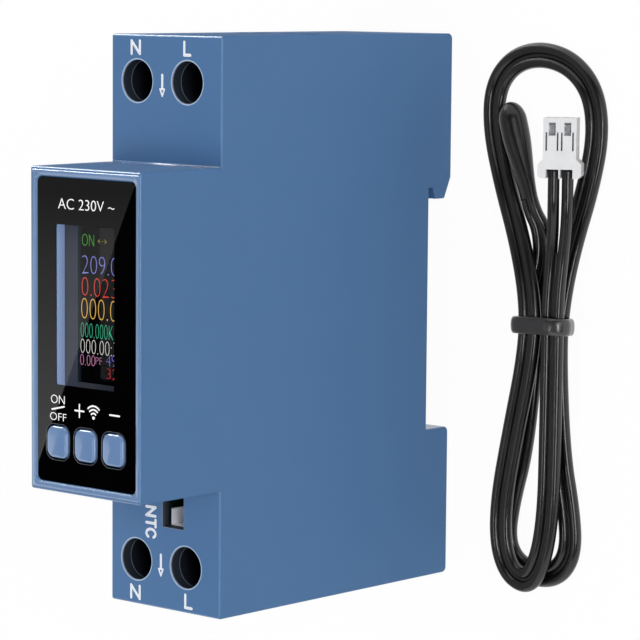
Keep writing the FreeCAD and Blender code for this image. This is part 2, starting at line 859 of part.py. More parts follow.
# Coil between the post in the channel and the end of the latch's window
def make_latch_spring():
    y0 = -latch_peg_y + spring_wire + spring_seat_gap
    y1 = -latch_window_top - spring_wire - spring_seat_gap
    z = (latch_low_z + latch_high_z)/2
    steps = spring_turns*4
    points = []
    tangents = []
    rise = (y1 - y0)/(2*math.pi*spring_turns)
    for i in range(steps + 1):
        angle = math.pi/2*i
        points.append(V(latch_x + spring_coil_radius*math.cos(angle), y0 + rise*angle,
                        z + spring_coil_radius*math.sin(angle)))
        tangents.append(V(-spring_coil_radius*math.sin(angle), rise,
                          spring_coil_radius*math.cos(angle)).normalize())
    return tube(arc_path(points, tangents), points[0], tangents[0], spring_wire)


# Turn of the hank, out of the waist to its tip and back, with heights spaced evenly along it
def hank_turn(start, end, turn, levels, count):
    tip_x, tip_y = turn["tip"]
    points = []
    for k in range(1, count + 1):
        u = k/(count + 1)
        rise = math.sin(math.pi*u)
        along = rise**turn["reach"]
        swing = turn["swing"][0 if u < 0.5 else 1]*math.sin(2*math.pi*u)*rise**turn["flare"]
        x = start[0] + (end[0] - start[0])*u + (tip_x - (start[0] + end[0])/2)*along + swing
        y = start[1] + (tip_y - start[1])*along
        place = u*(len(levels) - 1)
        low = min(int(place), len(levels) - 2)
        z = levels[low] + (levels[low + 1] - levels[low])*(place - low)
        points.append((x, y, z, 0))
    return points


# Route of the pair from the bead to the plug: x, y, z and the pair's roll at each point
def lead_route():
    ground = floor_gap + wire_radius
    layer = ground + layer_step
    lower = floor_gap + tie_thickness + tie_gap + wire_radius
    upper = lower + layer_step
    left_column = waist_x - waist_column/2
    right_column = waist_x + waist_column/2
    route = []
    for step in (-pocket_depth, 1.7):
        x, y = bead_point(step)
        route.append((x, y, bead_z, bead_roll))
    route += [(28.65, 12.8, 1.15, bead_roll/2), (29.15, 9.4, ground, 0), (28.5, 5.8, ground + 0.03, 0)]
    route += [(left_column, waist_upper_y, lower, 0), (left_column, waist_lower_y, lower, 0)]
    route += hank_turn((left_column, waist_lower_y), (right_column, waist_lower_y), first_turn,
                       [lower, ground, ground, ground, lower], lower_turn_points)
    route += [(right_column, waist_lower_y, lower, 0), (right_column + 0.5, waist_upper_y, lower, 0)]
    climb = [lower] + [ground]*10 + [layer - 0.5, upper]
    turn = hank_turn((right_column, waist_upper_y), (left_column + waist_lean, waist_upper_y),
                     upper_turn, climb, upper_turn_points)
    turn[-2] = (turn[-2][0] - 0.5, turn[-2][1], ground, 0)
    route += turn
    left_column += waist_lean
    right_column += waist_lean
    route += [(left_column, waist_upper_y, upper, 0), (left_column, waist_lower_y, upper, 0)]
    route += hank_turn((left_column, waist_lower_y), (right_column, waist_lower_y), second_turn,
                       [upper, layer, layer, layer, upper], lower_turn_points)
    route += [(right_column, waist_lower_y, upper, 0), (right_column, waist_upper_y, upper, 0)]
    x, y, z = plug_place
    route += [(x - 1.5, 8.0, 3.9, 0), (x - 0.6, 13.0, 4.5, plug_roll/2)]
    for step in (-3.7, -1.7, pocket_depth):
        route.append((x, y + step, z, plug_roll))
    return route


# Point on the bead's axis, at a distance outwards from the end where the pair comes out
def bead_point(step):
    angle = math.radians(bead_lean)
    return bead_end[0] + step*math.sin(angle), bead_end[1] - step*math.cos(angle)


# Points and tangents of one wire, half a pitch to its side of the pair's route
def wire_nodes(side):
    route = lead_route()
    count = len(route)
    points = []
    tangents = []
    for i in range(count - 1):
        start = V(*route[i][:3])
        end = V(*route[i + 1][:3])
        tangent = (end - start).normalize()
        roll = math.radians((route[i][3] + route[i + 1][3])/2)
        middle = (start + end)*0.5
        if i == 0:
            middle = start
        if i == count - 2:
            middle = end
        across = V(tangent.y, -tangent.x, 0).normalize()
        above = across.cross(tangent)
        offset = (across*math.cos(roll) + above*math.sin(roll))*(side*wire_pitch/2)
        points.append(middle + offset)
        tangents.append(tangent)
    return points, tangents


# Least gap between wires on two lists of points, leaving out the nearest stretch of the pair
def least_gap(first, second, spacing):
    skip = int(10*wire_radius/spacing)
    best = 1e9
    for i, point in enumerate(first):
        for j, other in enumerate(second):
            if abs(i - j) >= skip:
                best = min(best, point.distanceToPoint(other))
    return best - 2*wire_radius


def make_probe_wires():
    spacing = 0.4
    routes = []
    for name, side in (("probe_lead_a", 1), ("probe_lead_b", -1)):
        points, tangents = wire_nodes(side)
        path = arc_path(points, tangents)
        wire = tube(path, points[0], tangents[0], wire_radius)
        export(name, wire)
        section = math.pi*wire_radius**2
        print("%s length %.1f mm, volume over section times length %.4f"
              % (name, path.Length, wire.Volume/(section*path.Length)))
        routes.append(path.discretize(Distance=spacing))
    gaps = [least_gap(routes[i], routes[j], spacing) for i, j in ((0, 0), (1, 1), (0, 1))]
    print("least gap of wire a to itself %.2f mm, of b to itself %.2f mm, of a to b's turns %.2f mm"
          % tuple(gaps))


# Closed outline at a steady distance round a few points of an upright plane across the lead
def outline_round(corners, distance, y):
    edges = []
    count = len(corners)
    for i in range(count):
        last = V(corners[i - 1][0], y, corners[i - 1][1])
        here = V(corners[i][0], y, corners[i][1])
        following = V(corners[(i + 1) % count][0], y, corners[(i + 1) % count][1])
        out_last = (here - last).normalize().cross(V(0, -1, 0))
        out_next = (following - here).normalize().cross(V(0, -1, 0))
        middle = (out_last + out_next).normalize()
        edges.append(Part.Arc(here + out_last*distance, here + middle*distance,
                              here + out_next*distance).toShape())
        edges.append(Part.LineSegment(here + out_next*distance,
                                      following + out_next*distance).toShape())
    return Part.Wire(edges)


# Soft ring drawn round the four passes of the pair at the waist
def make_lead_tie():
    lower = floor_gap + tie_thickness + tie_gap + wire_radius
    upper = lower + layer_step
    half = (waist_column + wire_pitch)/2
    corners = [(waist_x - half, lower), (waist_x + half + tie_slack, lower),
               (waist_x + half + waist_lean, upper), (waist_x - half + waist_lean, upper)]
    y = (waist_upper_y + waist_lower_y)/2 - tie_length/2
    inside = wire_radius + tie_gap
    ring = Part.Face(outline_round(corners, inside + tie_thickness, y))
    ring = ring.extrude(V(0, tie_length, 0))
    rims = [edge for edge in ring.Edges
            if edge.BoundBox.YMax - edge.BoundBox.YMin < 0.01]
    ring = ring.makeFillet(tie_round, rims)
    hole = Part.Face(outline_round(corners, inside, y - 1)).extrude(V(0, tie_length + 2, 0))
    return ring.cut(hole)


# Rounded rectangle across the bead's axis
def bead_section(step, half_width, half_height):
    angle = math.radians(bead_lean)
    outward = V(math.sin(angle), -math.cos(angle), 0)
    across = V(outward.y, -outward.x, 0)
    above = across.cross(outward)
    roll = math.radians(bead_roll)
    wide = across*math.cos(roll) + above*math.sin(roll)
    high = wide.cross(outward)
    x, y = bead_point(step)
    middle = V(x, y, bead_z)
    radius = 0.9*min(half_width, half_height)
    corners = [(middle + wide*(a*half_width) + high*(b*half_height), radius)
               for a, b in ((-1, -1), (1, -1), (1, 1), (-1, 1))]
    return rounded_wire(corners)


# Dipped sensor bead: round at its tip, flatter where the pair comes out
def make_probe_bead():
    end_width = wire_pitch/2 + wire_radius + 0.25
    sections = [(0.0, 0.18, 0.18), (0.03, 0.45, 0.45), (0.1, 0.8, 0.8), (0.26, 1.0, 1.0),
                (0.5, 0.97, 0.95)]
    wires = [bead_section(-bead_length + part*bead_length, wide*bead_radius, high*bead_radius)
             for part, wide, high in sections]
    wires.append(bead_section(-0.2*bead_length, end_width, 0.75*bead_radius))
    wires.append(bead_section(0, end_width, 0.62*bead_radius))
    bead = Part.makeLoft(wires, True)
    return bead.cut(wire_pockets(0))


# Two round pockets for the wires' ends, at the bead (end 0) or at the plug (end -1)
def wire_pockets(end):
    pockets = []
    for side in (1, -1):
        points, tangents = wire_nodes(side)
        outwards = tangents[end] if end == 0 else tangents[end]*-1
        pockets.append(Part.makeCylinder(wire_radius + pocket_gap, pocket_depth + 1,
                                         points[end], outwards))
    return pockets[0].fuse(pockets[1])


# Moves a shape from the plug's own frame, with the wires' face at y = 0, to its tilted place
def as_plugged(shape):
    moved = shape.copy()
    moved.Placement = FreeCAD.Placement(V(*plug_place),
                                        FreeCAD.Rotation(V(0, 1, 0), -plug_roll))
    return moved


def plug_cavities():
    return [side*plug_pitch/2 for side in (-1, 1)]


# Two-pole plug: for each contact a cavity, a window, a latch tongue between two slots and an open
# notch where the wire goes in
def make_probe_plug():
    half_body = plug_width/2
    half_flange = plug_flange_width/2
    half_thick = plug_thickness/2
    slope_top = plug_flange_height + plug_flange_slope
    outline = [(-half_body, plug_length), (-half_body, slope_top),
               (-half_flange, plug_flange_height), (-half_flange, 0.4), (-half_flange + 0.4, 0),
               (half_flange - 0.4, 0), (half_flange, 0.4), (half_flange, plug_flange_height),
               (half_body, slope_top), (half_body, plug_length)]
    points = [V(x, y, -half_thick) for x, y in outline]
    body = Part.Face(Part.makePolygon(points + [points[0]])).extrude(V(0, 0, plug_thickness))
    window_top = plug_length - plug_window_end
    window_low = window_top - plug_window_height
    ledge_y = window_low + 0.45
    body = body.cut(box(-half_body - 1, half_body + 1, ledge_y, plug_length + 1,
                        half_thick - plug_ledge, half_thick + 1))
    for x in plug_cavities():
        half_cavity = plug_cavity_width/2
        body = body.cut(box(x - half_cavity, x + half_cavity, plug_flange_height, plug_length + 1,
                            -plug_cavity_depth/2, plug_cavity_depth/2))
        body = body.cut(box(x - plug_window_width/2, x + plug_window_width/2, window_low,
                            window_top, 0, half_thick + 1))
        for side in (-1, 1):
            slot_x = x + side*(plug_tongue_width + plug_slot_width)/2
            body = body.cut(box(slot_x - plug_slot_width/2, slot_x + plug_slot_width/2,
                                ledge_y - plug_slot_length, ledge_y,
                                plug_cavity_depth/2 - 0.1, half_thick + 1))
        wire_x = math.copysign(wire_pitch/2, x)
        body = body.cut(box(wire_x - wire_radius - pocket_gap, wire_x + wire_radius + pocket_gap,
                            -1, plug_notch_length, 0, half_thick + 1))
    return as_plugged(body).cut(wire_pockets(-1))


# Box contacts at the bottom of the plug's cavities
def make_plug_contacts():
    contacts = []
    half_wide = plug_cavity_width/2 - running_gap
    half_deep = plug_cavity_depth/2 - running_gap
    top = plug_length - 1.0
    for x in plug_cavities():
        sleeve = box(x - half_wide, x + half_wide, plug_flange_height, top, -half_deep, half_deep)
        contacts.append(as_plugged(sleeve.cut(box(x - 0.35, x + 0.35, plug_flange_height + 1.5,
                                                  top + 1, -0.4, 0.4))))
    return Part.makeCompound(contacts)


def export(name, shape):
    if not shape.isValid():
        print("not valid:", name)
    solids = len(shape.Solids)
    print("%-22s solids %d  volume %.2f mm3" % (name, solids, shape.Volume))
    if solids == 1:
        shape = shape.Solids[0]
    shape.exportStep("parts/" + name + ".step")


os.makedirs("parts", exist_ok=True)
export("housing_tub", make_housing_tub())
export("side_cover", make_side_cover())
export("face_panel", make_face_panel())
export("panel_mask", make_panel_mask())
export("display_module", make_display_module())
export("display_glass", make_display_glass())
export("front_board", make_front_board())
export("board_screws", make_board_screws())
for label, place in zip(("on_off", "plus", "minus"), button_places()):
    export("button_" + label, make_button(place))
    export("switch_plunger_" + label, make_plunger(place))
export("tact_switches", make_tact_switches())
export("main_board", make_main_board())
export("board_header", make_board_header())
export("header_pins", make_header_pins())
export("relay", make_relay())
export("supply_transformer", make_supply_transformer())
export("supply_capacitors", make_supply_capacitors())
export("varistor", make_varistor())
export("shunt_strip", make_shunt_strip())
export("metering_chips", make_metering_chips())
export("wireless_module", make_wireless_module())
export("ntc_socket", make_ntc_socket())
export("ntc_contacts", make_ntc_contacts())
for pole in terminal_x:
    for end, side in (("top", 1), ("bottom", -1)):
        export("busbar_%s_%s" % (pole, end), make_busbar(pole, side))
        export("terminal_screw_%s_%s" % (pole, end), make_terminal_screw(pole, side))
        export("clamp_cage_%s_%s" % (pole, end), make_clamp_cage(pole, side))
export("din_latch", make_din_latch())
export("latch_spring", make_latch_spring())
make_probe_wires()
export("lead_tie", make_lead_tie())
export("probe_bead", make_probe_bead())
export("probe_plug", make_probe_plug())
export("plug_contacts", make_plug_contacts())
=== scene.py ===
import json

import bpy
import numpy as np
from mathutils import Matrix


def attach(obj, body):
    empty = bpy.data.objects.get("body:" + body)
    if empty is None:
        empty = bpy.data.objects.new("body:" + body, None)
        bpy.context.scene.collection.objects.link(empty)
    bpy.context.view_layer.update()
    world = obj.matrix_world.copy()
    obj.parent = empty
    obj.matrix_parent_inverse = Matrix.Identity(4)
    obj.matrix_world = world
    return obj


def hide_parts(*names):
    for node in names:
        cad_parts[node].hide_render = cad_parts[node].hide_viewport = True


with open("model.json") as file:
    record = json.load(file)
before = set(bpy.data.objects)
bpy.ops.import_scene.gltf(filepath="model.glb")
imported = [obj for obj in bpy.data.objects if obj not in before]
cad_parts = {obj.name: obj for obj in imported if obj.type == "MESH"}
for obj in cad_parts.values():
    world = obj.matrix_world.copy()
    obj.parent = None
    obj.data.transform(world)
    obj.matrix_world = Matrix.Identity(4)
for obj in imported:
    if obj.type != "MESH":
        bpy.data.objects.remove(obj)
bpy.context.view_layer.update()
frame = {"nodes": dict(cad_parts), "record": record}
mm = 0.001
print("frame loaded:", len(frame["nodes"]), "CAD nodes")


def linear(hexColour):
    # sRGB hex to linear light: a straight part near black, above it the 2.4 power
    parts = np.array([int(hexColour[i:i + 2], 16) for i in (1, 3, 5)])/255
    light = np.where(parts > 0.04045, ((parts + 0.055)/1.055)**2.4, parts/12.92)
    return (*light.tolist(), 1.0)


def addNode(tree, kind, settings=None, links=None):
    # A setting that names or numbers an input fills that input, any other one is the node's own
    node = tree.nodes.new(kind)
    for key, value in (settings or {}).items():
        if isinstance(key, int) or key in node.inputs:
            node.inputs[key].default_value = value
        else:
            setattr(node, key, value)
    for key, source in (links or {}).items():
        tree.links.new(source, node.inputs[key])
    return node


# Camera, measured from the photograph's vanishing lines
cameraView = {"place": (0.304926, 0.048697, 0.358949), "yaw": 41.73, "pitch": 6.29, "roll": 0.46, "lens": 175.2}


def makeCamera(view):
    # The camera's back points at yaw round Y and pitch above it; roll then turns right and up about that axis
    yaw, pitch, roll = np.radians([view["yaw"], view["pitch"], view["roll"]])
    back = np.array([np.sin(yaw)*np.cos(pitch), np.sin(pitch), np.cos(yaw)*np.cos(pitch)])
    right = np.array([np.cos(yaw), 0, -np.sin(yaw)])
    up = np.cross(back, right)
    turned = np.stack([right*np.cos(roll) + up*np.sin(roll), up*np.cos(roll) - right*np.sin(roll), back], 1)
    data = bpy.data.cameras.new("photoCamera")
    data.sensor_width = 36
    data.lens = view["lens"]
    data.clip_start = 0.02
    data.clip_end = 20
    camera = bpy.data.objects.new("photoCamera", data)
    bpy.context.scene.collection.objects.link(camera)
    camera.matrix_world = Matrix.Translation(view["place"]) @ Matrix(turned.tolist()).to_4x4()
    bpy.context.scene.camera = camera


makeCamera(cameraView)
print("camera placed")


def gridFaces(rows, columns, first, ringed, looped):
    # Cell (r, c) joins its four neighbours; ringed closes the section, looped joins the last row to the first
    r = np.arange(rows if looped else rows - 1)[:, None]
    c = np.arange(columns if ringed else columns - 1)[None, :]
    r2, c2 = (r + 1) % rows, (c + 1) % columns
    corners = np.broadcast_arrays(r*columns + c, r*columns + c2, r2*columns + c2, r2*columns + c)
    return first + np.stack(corners, -1).reshape(-1, 4)


def makePiece(name, grids, finish, body, looped=False, across=None):
    # Each grid is rows of points along a path and columns round a section, in mm; a fan closes each open end
    points, faces, marks, first = [], [], [], 0
    for number, grid in enumerate(grids):
        rows, columns = grid.shape[:2]
        middle = grid - grid.mean((0, 1))
        along, around = np.gradient(middle, axis=0), np.roll(middle, -1, 1) - middle
        mark = np.zeros((rows, columns)) if across is None else across[number]
        if np.einsum("rci,rci", middle, np.cross(around, along)) < 0:
            grid, mark = grid[:, ::-1], mark[:, ::-1]  # turns the faces outwards
        points += [grid.reshape(-1, 3)]
        marks += [mark.reshape(-1)]
        faces += gridFaces(rows, columns, first, True, looped).tolist()
        if not looped:
            points += [grid[0].mean(0)[None], grid[-1].mean(0)[None]]
            marks += [np.full(2, marks[-1].mean())]
            c = np.arange(columns)
            ring, centre = first + c, first + rows*columns
            start = np.stack([ring, np.full(columns, centre), first + (c + 1) % columns], 1)
            end = np.stack([ring, first + (c + 1) % columns, np.full(columns, centre + 1)], 1)
            end[:, :2] += (rows - 1)*columns
            faces += start.tolist() + end.tolist()
            first += 2
        first += rows*columns
    mesh = bpy.data.meshes.new(name)
    mesh.from_pydata((np.concatenate(points)*mm).tolist(), [], faces)
    mesh.polygons.foreach_set("use_smooth", np.ones(len(faces), bool))
    mark = mesh.attributes.new("across", "FLOAT", "POINT")
    mark.data.foreach_set("value", np.concatenate(marks).astype(np.float32))
    mesh.update()
    return addPiece(name, mesh, finish, body)


def addPiece(name, mesh, finish, body):
    piece = bpy.data.objects.new(name, mesh)
    bpy.context.scene.collection.objects.link(piece)
    mesh.materials.clear()
    mesh.materials.append(finish)
    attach(piece, body)
    return piece


# Finishes
def newFinish(name, values):
    material = bpy.data.materials.new(name)
    material.use_nodes = True
    tree = material.node_tree
    tree.nodes.clear()
    shader = addNode(tree, "ShaderNodeBsdfPrincipled", values)
    addNode(tree, "ShaderNodeOutputMaterial", {}, {"Surface": shader.outputs["BSDF"]})
    return material, tree, shader


def addGrain(tree, shader, look):
    # Colour drifts between two shades in patches, roughness drifts with it, and a fine grain tilts the surface
    place = addNode(tree, "ShaderNodeTexCoord").outputs["Object"]
    patch = addNode(tree, "ShaderNodeTexNoise", {"Scale": 1000/look["patch"], "Detail": 4.0}, {"Vector": place})
    drift = addNode(tree, "ShaderNodeMapRange", {"From Min": 0.35, "From Max": 0.65}, {"Value": patch.outputs["Fac"]})
    shades = [linear(shade) for shade in look["shades"]]
    colour = addNode(tree, "ShaderNodeMix", {"data_type": "RGBA", 6: shades[0], 7: shades[1]},
                     {0: drift.outputs["Result"]})
    tree.links.new(colour.outputs[2], shader.inputs["Base Color"])
    low, high = look["rough"]
    rough = addNode(tree, "ShaderNodeMapRange", {"To Min": low, "To Max": high}, {"Value": patch.outputs["Fac"]})
    tree.links.new(rough.outputs["Result"], shader.inputs["Roughness"])
    grain = addNode(tree, "ShaderNodeTexNoise", {"Scale": 1000/look["grain"], "Detail": 3.0}, {"Vector": place})
    bump = addNode(tree, "ShaderNodeBump", {"Strength": look["relief"], "Distance": look["depth"]*mm},
                   {"Height": grain.outputs["Fac"]})
    tree.links.new(bump.outputs["Normal"], shader.inputs["Normal"])


# One row for each plain finish: what it is, its shades, its roughness range and its grain in mm
plainFinishes = {
    # ABS moulded in a spark-eroded tool: even blue, soft sheen, and edges that catch the lamps
    "sparkTexturedAbs": {"shades": ("#426f9f", "#4370a0"), "patch": 9.0, "rough": (0.36, 0.42),
                         "grain": 0.35, "relief": 0.12, "depth": 0.02,
                         "values": {"IOR": 1.53, "Coat Weight": 0.5, "Coat Roughness": 0.12}},
    # The same ABS, paler as painted light, with a clearer coat: button caps and the land round the panel
    "paleAbsPaintedLight": {"shades": ("#6484b0", "#6787b3"), "patch": 3.0, "rough": (0.2, 0.26),
                    "grain": 0.9, "relief": 0.04, "depth": 0.02,
                    "values": {"IOR": 1.53, "Coat Weight": 1.0, "Coat Roughness": 0.04}},
    # Silk-printed film on the front of the panel: deep black under a hard gloss
    "blackPrintedFilm": {"shades": ("#020203", "#030304"), "patch": 8.0, "rough": (0.004, 0.01),
                         "grain": 4.0, "relief": 0.002, "depth": 0.01, "values": {"IOR": 1.5}},
    # Painted metal bezel of the display: neutral grey
    "greyDisplayBezel": {"shades": ("#505156", "#55565b"), "patch": 3.0, "rough": (0.4, 0.5),
                         "grain": 0.3, "relief": 0.15, "depth": 0.01, "values": {}},
    # Glass-epoxy laminate under green solder mask
    "greenSolderMask": {"shades": ("#1c5b33", "#20663a"), "patch": 4.0, "rough": (0.3, 0.4),
                        "grain": 0.5, "relief": 0.2, "depth": 0.02, "values": {}},
    # Zinc-plated steel: bluish bright metal, dulled in patches
    "zincPlatedSteel": {"shades": ("#b9bcc2", "#9fa3aa"), "patch": 2.0, "rough": (0.26, 0.42),
                        "grain": 0.25, "relief": 0.3, "depth": 0.02, "values": {"Metallic": 1.0}},
    # Terminal screws: steel made near black as painted shade, so they lie dark at the bottom of their guides
    "paintedShadeSteel": {"shades": ("#16181c", "#0e1013"), "patch": 1.2, "rough": (0.4, 0.55),
                       "grain": 0.2, "relief": 0.3, "depth": 0.02, "values": {"Metallic": 1.0}},
    # Glass-filled nylon of the switches
    "blackNylon": {"shades": ("#141416", "#1a1a1c"), "patch": 2.0, "rough": (0.45, 0.6),
                   "grain": 0.3, "relief": 0.3, "depth": 0.02, "values": {}},
    # Stamped brass plunger, nickel plated
    "nickelPlate": {"shades": ("#c3beb4", "#aca69c"), "patch": 1.5, "rough": (0.2, 0.32),
                    "grain": 0.3, "relief": 0.2, "depth": 0.01, "values": {"Metallic": 1.0}},
    # Header pins: thin gold over nickel
    "goldFlash": {"shades": ("#e0b35a", "#cf9f48"), "patch": 1.0, "rough": (0.2, 0.3),
                  "grain": 0.2, "relief": 0.2, "depth": 0.01, "values": {"Metallic": 1.0}},
    # Relay case: injection-moulded PBT, smooth
    "blackPbt": {"shades": ("#17181a", "#1d1e21"), "patch": 5.0, "rough": (0.34, 0.44),
                 "grain": 0.4, "relief": 0.15, "depth": 0.02, "values": {}},
    # Polyester tape round the transformer's winding
    "yellowPolyesterTape": {"shades": ("#d9b13a", "#c79d2c"), "patch": 3.0, "rough": (0.25, 0.4),
                            "grain": 0.6, "relief": 0.3, "depth": 0.03, "values": {}},
    # Drawn aluminium can
    "drawnAluminium": {"shades": ("#b8bcc0", "#a6aaae"), "patch": 2.0, "rough": (0.25, 0.36),
                       "grain": 0.3, "relief": 0.2, "depth": 0.02, "values": {"Metallic": 1.0}},
    # Dipped epoxy of the varistor: thick glossy lacquer
    "blueDippedEpoxy": {"shades": ("#1f57b8", "#2560c4"), "patch": 3.0, "rough": (0.2, 0.35),
                        "grain": 1.2, "relief": 0.3, "depth": 0.05, "values": {}},
    # Rolled copper strip, slightly oxidised
    "rolledCopper": {"shades": ("#c77b55", "#a8603f"), "patch": 2.5, "rough": (0.28, 0.42),
                     "grain": 0.4, "relief": 0.3, "depth": 0.02, "values": {"Metallic": 1.0}},
    # Moulded epoxy of the chips
    "blackMouldCompound": {"shades": ("#1b1b1d", "#222225"), "patch": 1.5, "rough": (0.5, 0.62),
                           "grain": 0.2, "relief": 0.4, "depth": 0.02, "values": {}},
    # Tinned steel lid of the wireless module
    "tinnedShield": {"shades": ("#c5c7c9", "#b2b4b7"), "patch": 3.0, "rough": (0.22, 0.34),
                     "grain": 0.5, "relief": 0.2, "depth": 0.02, "values": {"Metallic": 1.0}},
    # Nylon of the socket in the port: off-white, seen in shade
    "naturalNylon": {"shades": ("#f1f2f5", "#e6e8ee"), "patch": 2.0, "rough": (0.4, 0.5),
                     "grain": 0.4, "relief": 0.2, "depth": 0.02, "values": {}},
    # Matt tin on the contacts
    "mattTin": {"shades": ("#a9acb0", "#8f9297"), "patch": 0.8, "rough": (0.35, 0.5),
                "grain": 0.2, "relief": 0.3, "depth": 0.02, "values": {"Metallic": 1.0}},
    # Acetal of the rail latch: near black, slightly waxy
    "blackAcetal": {"shades": ("#191a1c", "#202124"), "patch": 4.0, "rough": (0.36, 0.48),
                    "grain": 0.4, "relief": 0.2, "depth": 0.02, "values": {}},
    # Spring steel wire, bright drawn
    "drawnSpringSteel": {"shades": ("#a5a7a9", "#8d8f92"), "patch": 0.6, "rough": (0.25, 0.4),
                         "grain": 0.15, "relief": 0.3, "depth": 0.01, "values": {"Metallic": 1.0}},
    # PVC insulation, extruded: black, a broken line of light along each wire and a fine sparkle in it
    "satinPvc": {"shades": ("#050506", "#0a0a0b"), "patch": 3.5, "rough": (0.24, 0.38),
                 "grain": 0.3, "relief": 0.5, "depth": 0.03,
                 "values": {"IOR": 1.42, "Coat Weight": 0.6, "Coat Roughness": 0.1}},
    # Rubber ring: dark grey, bloomed, softer light than the wires
    "bloomedRubber": {"shades": ("#28282a", "#1c1c1e"), "patch": 1.6, "rough": (0.26, 0.42),
                      "grain": 0.5, "relief": 0.5, "depth": 0.04,
                      "values": {"Coat Weight": 0.8, "Coat Roughness": 0.16}},
    # Heat-shrink sleeve over the sensor: smooth black with slow waves
    "shrunkSleeve": {"shades": ("#070708", "#0c0c0d"), "patch": 3.0, "rough": (0.24, 0.36),
                     "grain": 1.1, "relief": 0.5, "depth": 0.06,
                     "values": {"IOR": 1.42, "Coat Weight": 0.5, "Coat Roughness": 0.12}},
    # Cut edge of the panel's openings: polished, with a greyish painted highlight round the black
    "acrylicEdgePaintedHighlight": {"shades": ("#565b66", "#4a4f59"), "patch": 1.0, "rough": (0.15, 0.25),
                       "grain": 0.3, "relief": 0.1, "depth": 0.01, "values": {"Coat Weight": 0.5}},
    # Wall round the display: the same ABS with painted light, paler shades and a glow of its own standing in for the
    # display's light from the side
    "collarAbsPaintedLight": {"shades": ("#8ea3c9", "#889dc4"), "patch": 3.0, "rough": (0.3, 0.4), "grain": 0.4,
                     "relief": 0.1, "depth": 0.02,
                     "values": {"Emission Color": linear("#647797"), "Emission Strength": 1.0}},
    # White PA66 of the plug, a little translucent
    "whitePa66": {"shades": ("#dededf", "#d8d8da"), "patch": 2.0, "rough": (0.3, 0.4), "grain": 0.5,
                  "relief": 0.2, "depth": 0.02,
                  "values": {"Subsurface Weight": 0.15, "Subsurface Scale": 0.4*mm,
                             "Subsurface Radius": (1.0, 1.0, 1.0)}},
}


def makePlainFinish(name):
    look = plainFinishes[name]
    material, tree, shader = newFinish(name, look["values"])
    addGrain(tree, shader, look)
    return material


# Clear acrylic sheet, polished: bends what lies behind it and mirrors the room faintly
clearAcrylic = {"ior": 1.49, "tint": "#fafbfc", "polish": 0.01}


def makeClearAcrylic(look):
    # The eye's rays bend and mirror in the sheet; light on its way to what lies behind goes straight through
    material, tree, shader = newFinish("clearAcrylic", {"Base Color": linear(look["tint"]), "IOR": look["ior"],
                                                        "Roughness": look["polish"], "Transmission Weight": 1.0})
    path = addNode(tree, "ShaderNodeLightPath")
    seen = addNode(tree, "ShaderNodeMath", {"operation": "MAXIMUM"},
                   {0: path.outputs["Is Camera Ray"], 1: path.outputs["Is Transmission Ray"]})
    straight = addNode(tree, "ShaderNodeBsdfTransparent", {"Color": linear(look["tint"])})
    mixed = addNode(tree, "ShaderNodeMixShader", {}, {0: seen.outputs["Value"], 1: straight.outputs["BSDF"],
                                                      2: shader.outputs["BSDF"]})
    tree.links.new(mixed.outputs["Shader"], tree.nodes["Material Output"].inputs["Surface"])
    return material


def makeDisplayGlass():
    # Cover glass of the display: black with a polished face, its pixels unlit between the figures
    material, tree, shader = newFinish("darkDisplayGlass", {"Roughness": 0.12, "IOR": 1.5})
    place = addNode(tree, "ShaderNodeTexCoord").outputs["Object"]
    pixels = addNode(tree, "ShaderNodeTexChecker", {"Color1": linear("#030304"), "Color2": linear("#060608"),
                                                    "Scale": 1000/0.12}, {"Vector": place})
    tree.links.new(pixels.outputs["Color"], shader.inputs["Base Color"])
    return material


def makeLitPixels(name, shade, glow):
    # Lit pixels of the display: coloured light, brighter in the middle of each pixel row 0.12 mm apart
    material, tree, shader = newFinish(name, {"Base Color": linear("#050505"), "Roughness": 0.4,
                                              "Emission Strength": glow})
    place = addNode(tree, "ShaderNodeTexCoord").outputs["Object"]
    rows = addNode(tree, "ShaderNodeTexWave", {"bands_direction": "Y", "Scale": 0.314/(0.12*mm)}, {"Vector": place})
    bright = linear(shade)
    dim = (*[part*0.72 for part in bright[:3]], 1.0)
    colour = addNode(tree, "ShaderNodeMix", {"data_type": "RGBA", 6: dim, 7: bright}, {0: rows.outputs["Fac"]})
    tree.links.new(colour.outputs[2], shader.inputs["Emission Color"])
    return material


def makeLaserMark(name, edge, core):
    # Laser-foamed lettering: a white outline round a greyer hatched middle, lines 0.1 mm apart
    material, tree, shader = newFinish(name, {"Roughness": 0.6})
    across = addNode(tree, "ShaderNodeAttribute", {"attribute_name": "across"}).outputs["Fac"]
    rim = addNode(tree, "ShaderNodeMapRange", {"From Min": 0.3, "From Max": 0.7}, {"Value": across})
    place = addNode(tree, "ShaderNodeTexCoord").outputs["Object"]
    hatch = addNode(tree, "ShaderNodeTexWave", {"bands_direction": "DIAGONAL", "Scale": 0.314/(0.1*mm)},
                    {"Vector": place})
    lighter = addNode(tree, "ShaderNodeMix", {"data_type": "RGBA", 0: 0.25, 6: linear(core), 7: linear(edge)})
    middle = addNode(tree, "ShaderNodeMix", {"data_type": "RGBA", 6: linear(core)},
                     {0: hatch.outputs["Fac"], 7: lighter.outputs[2]})
    colour = addNode(tree, "ShaderNodeMix", {"data_type": "RGBA", 7: linear(edge)},
                     {0: rim.outputs["Result"], 6: middle.outputs[2]})
    tree.links.new(colour.outputs[2], shader.inputs["Base Color"])
    return material


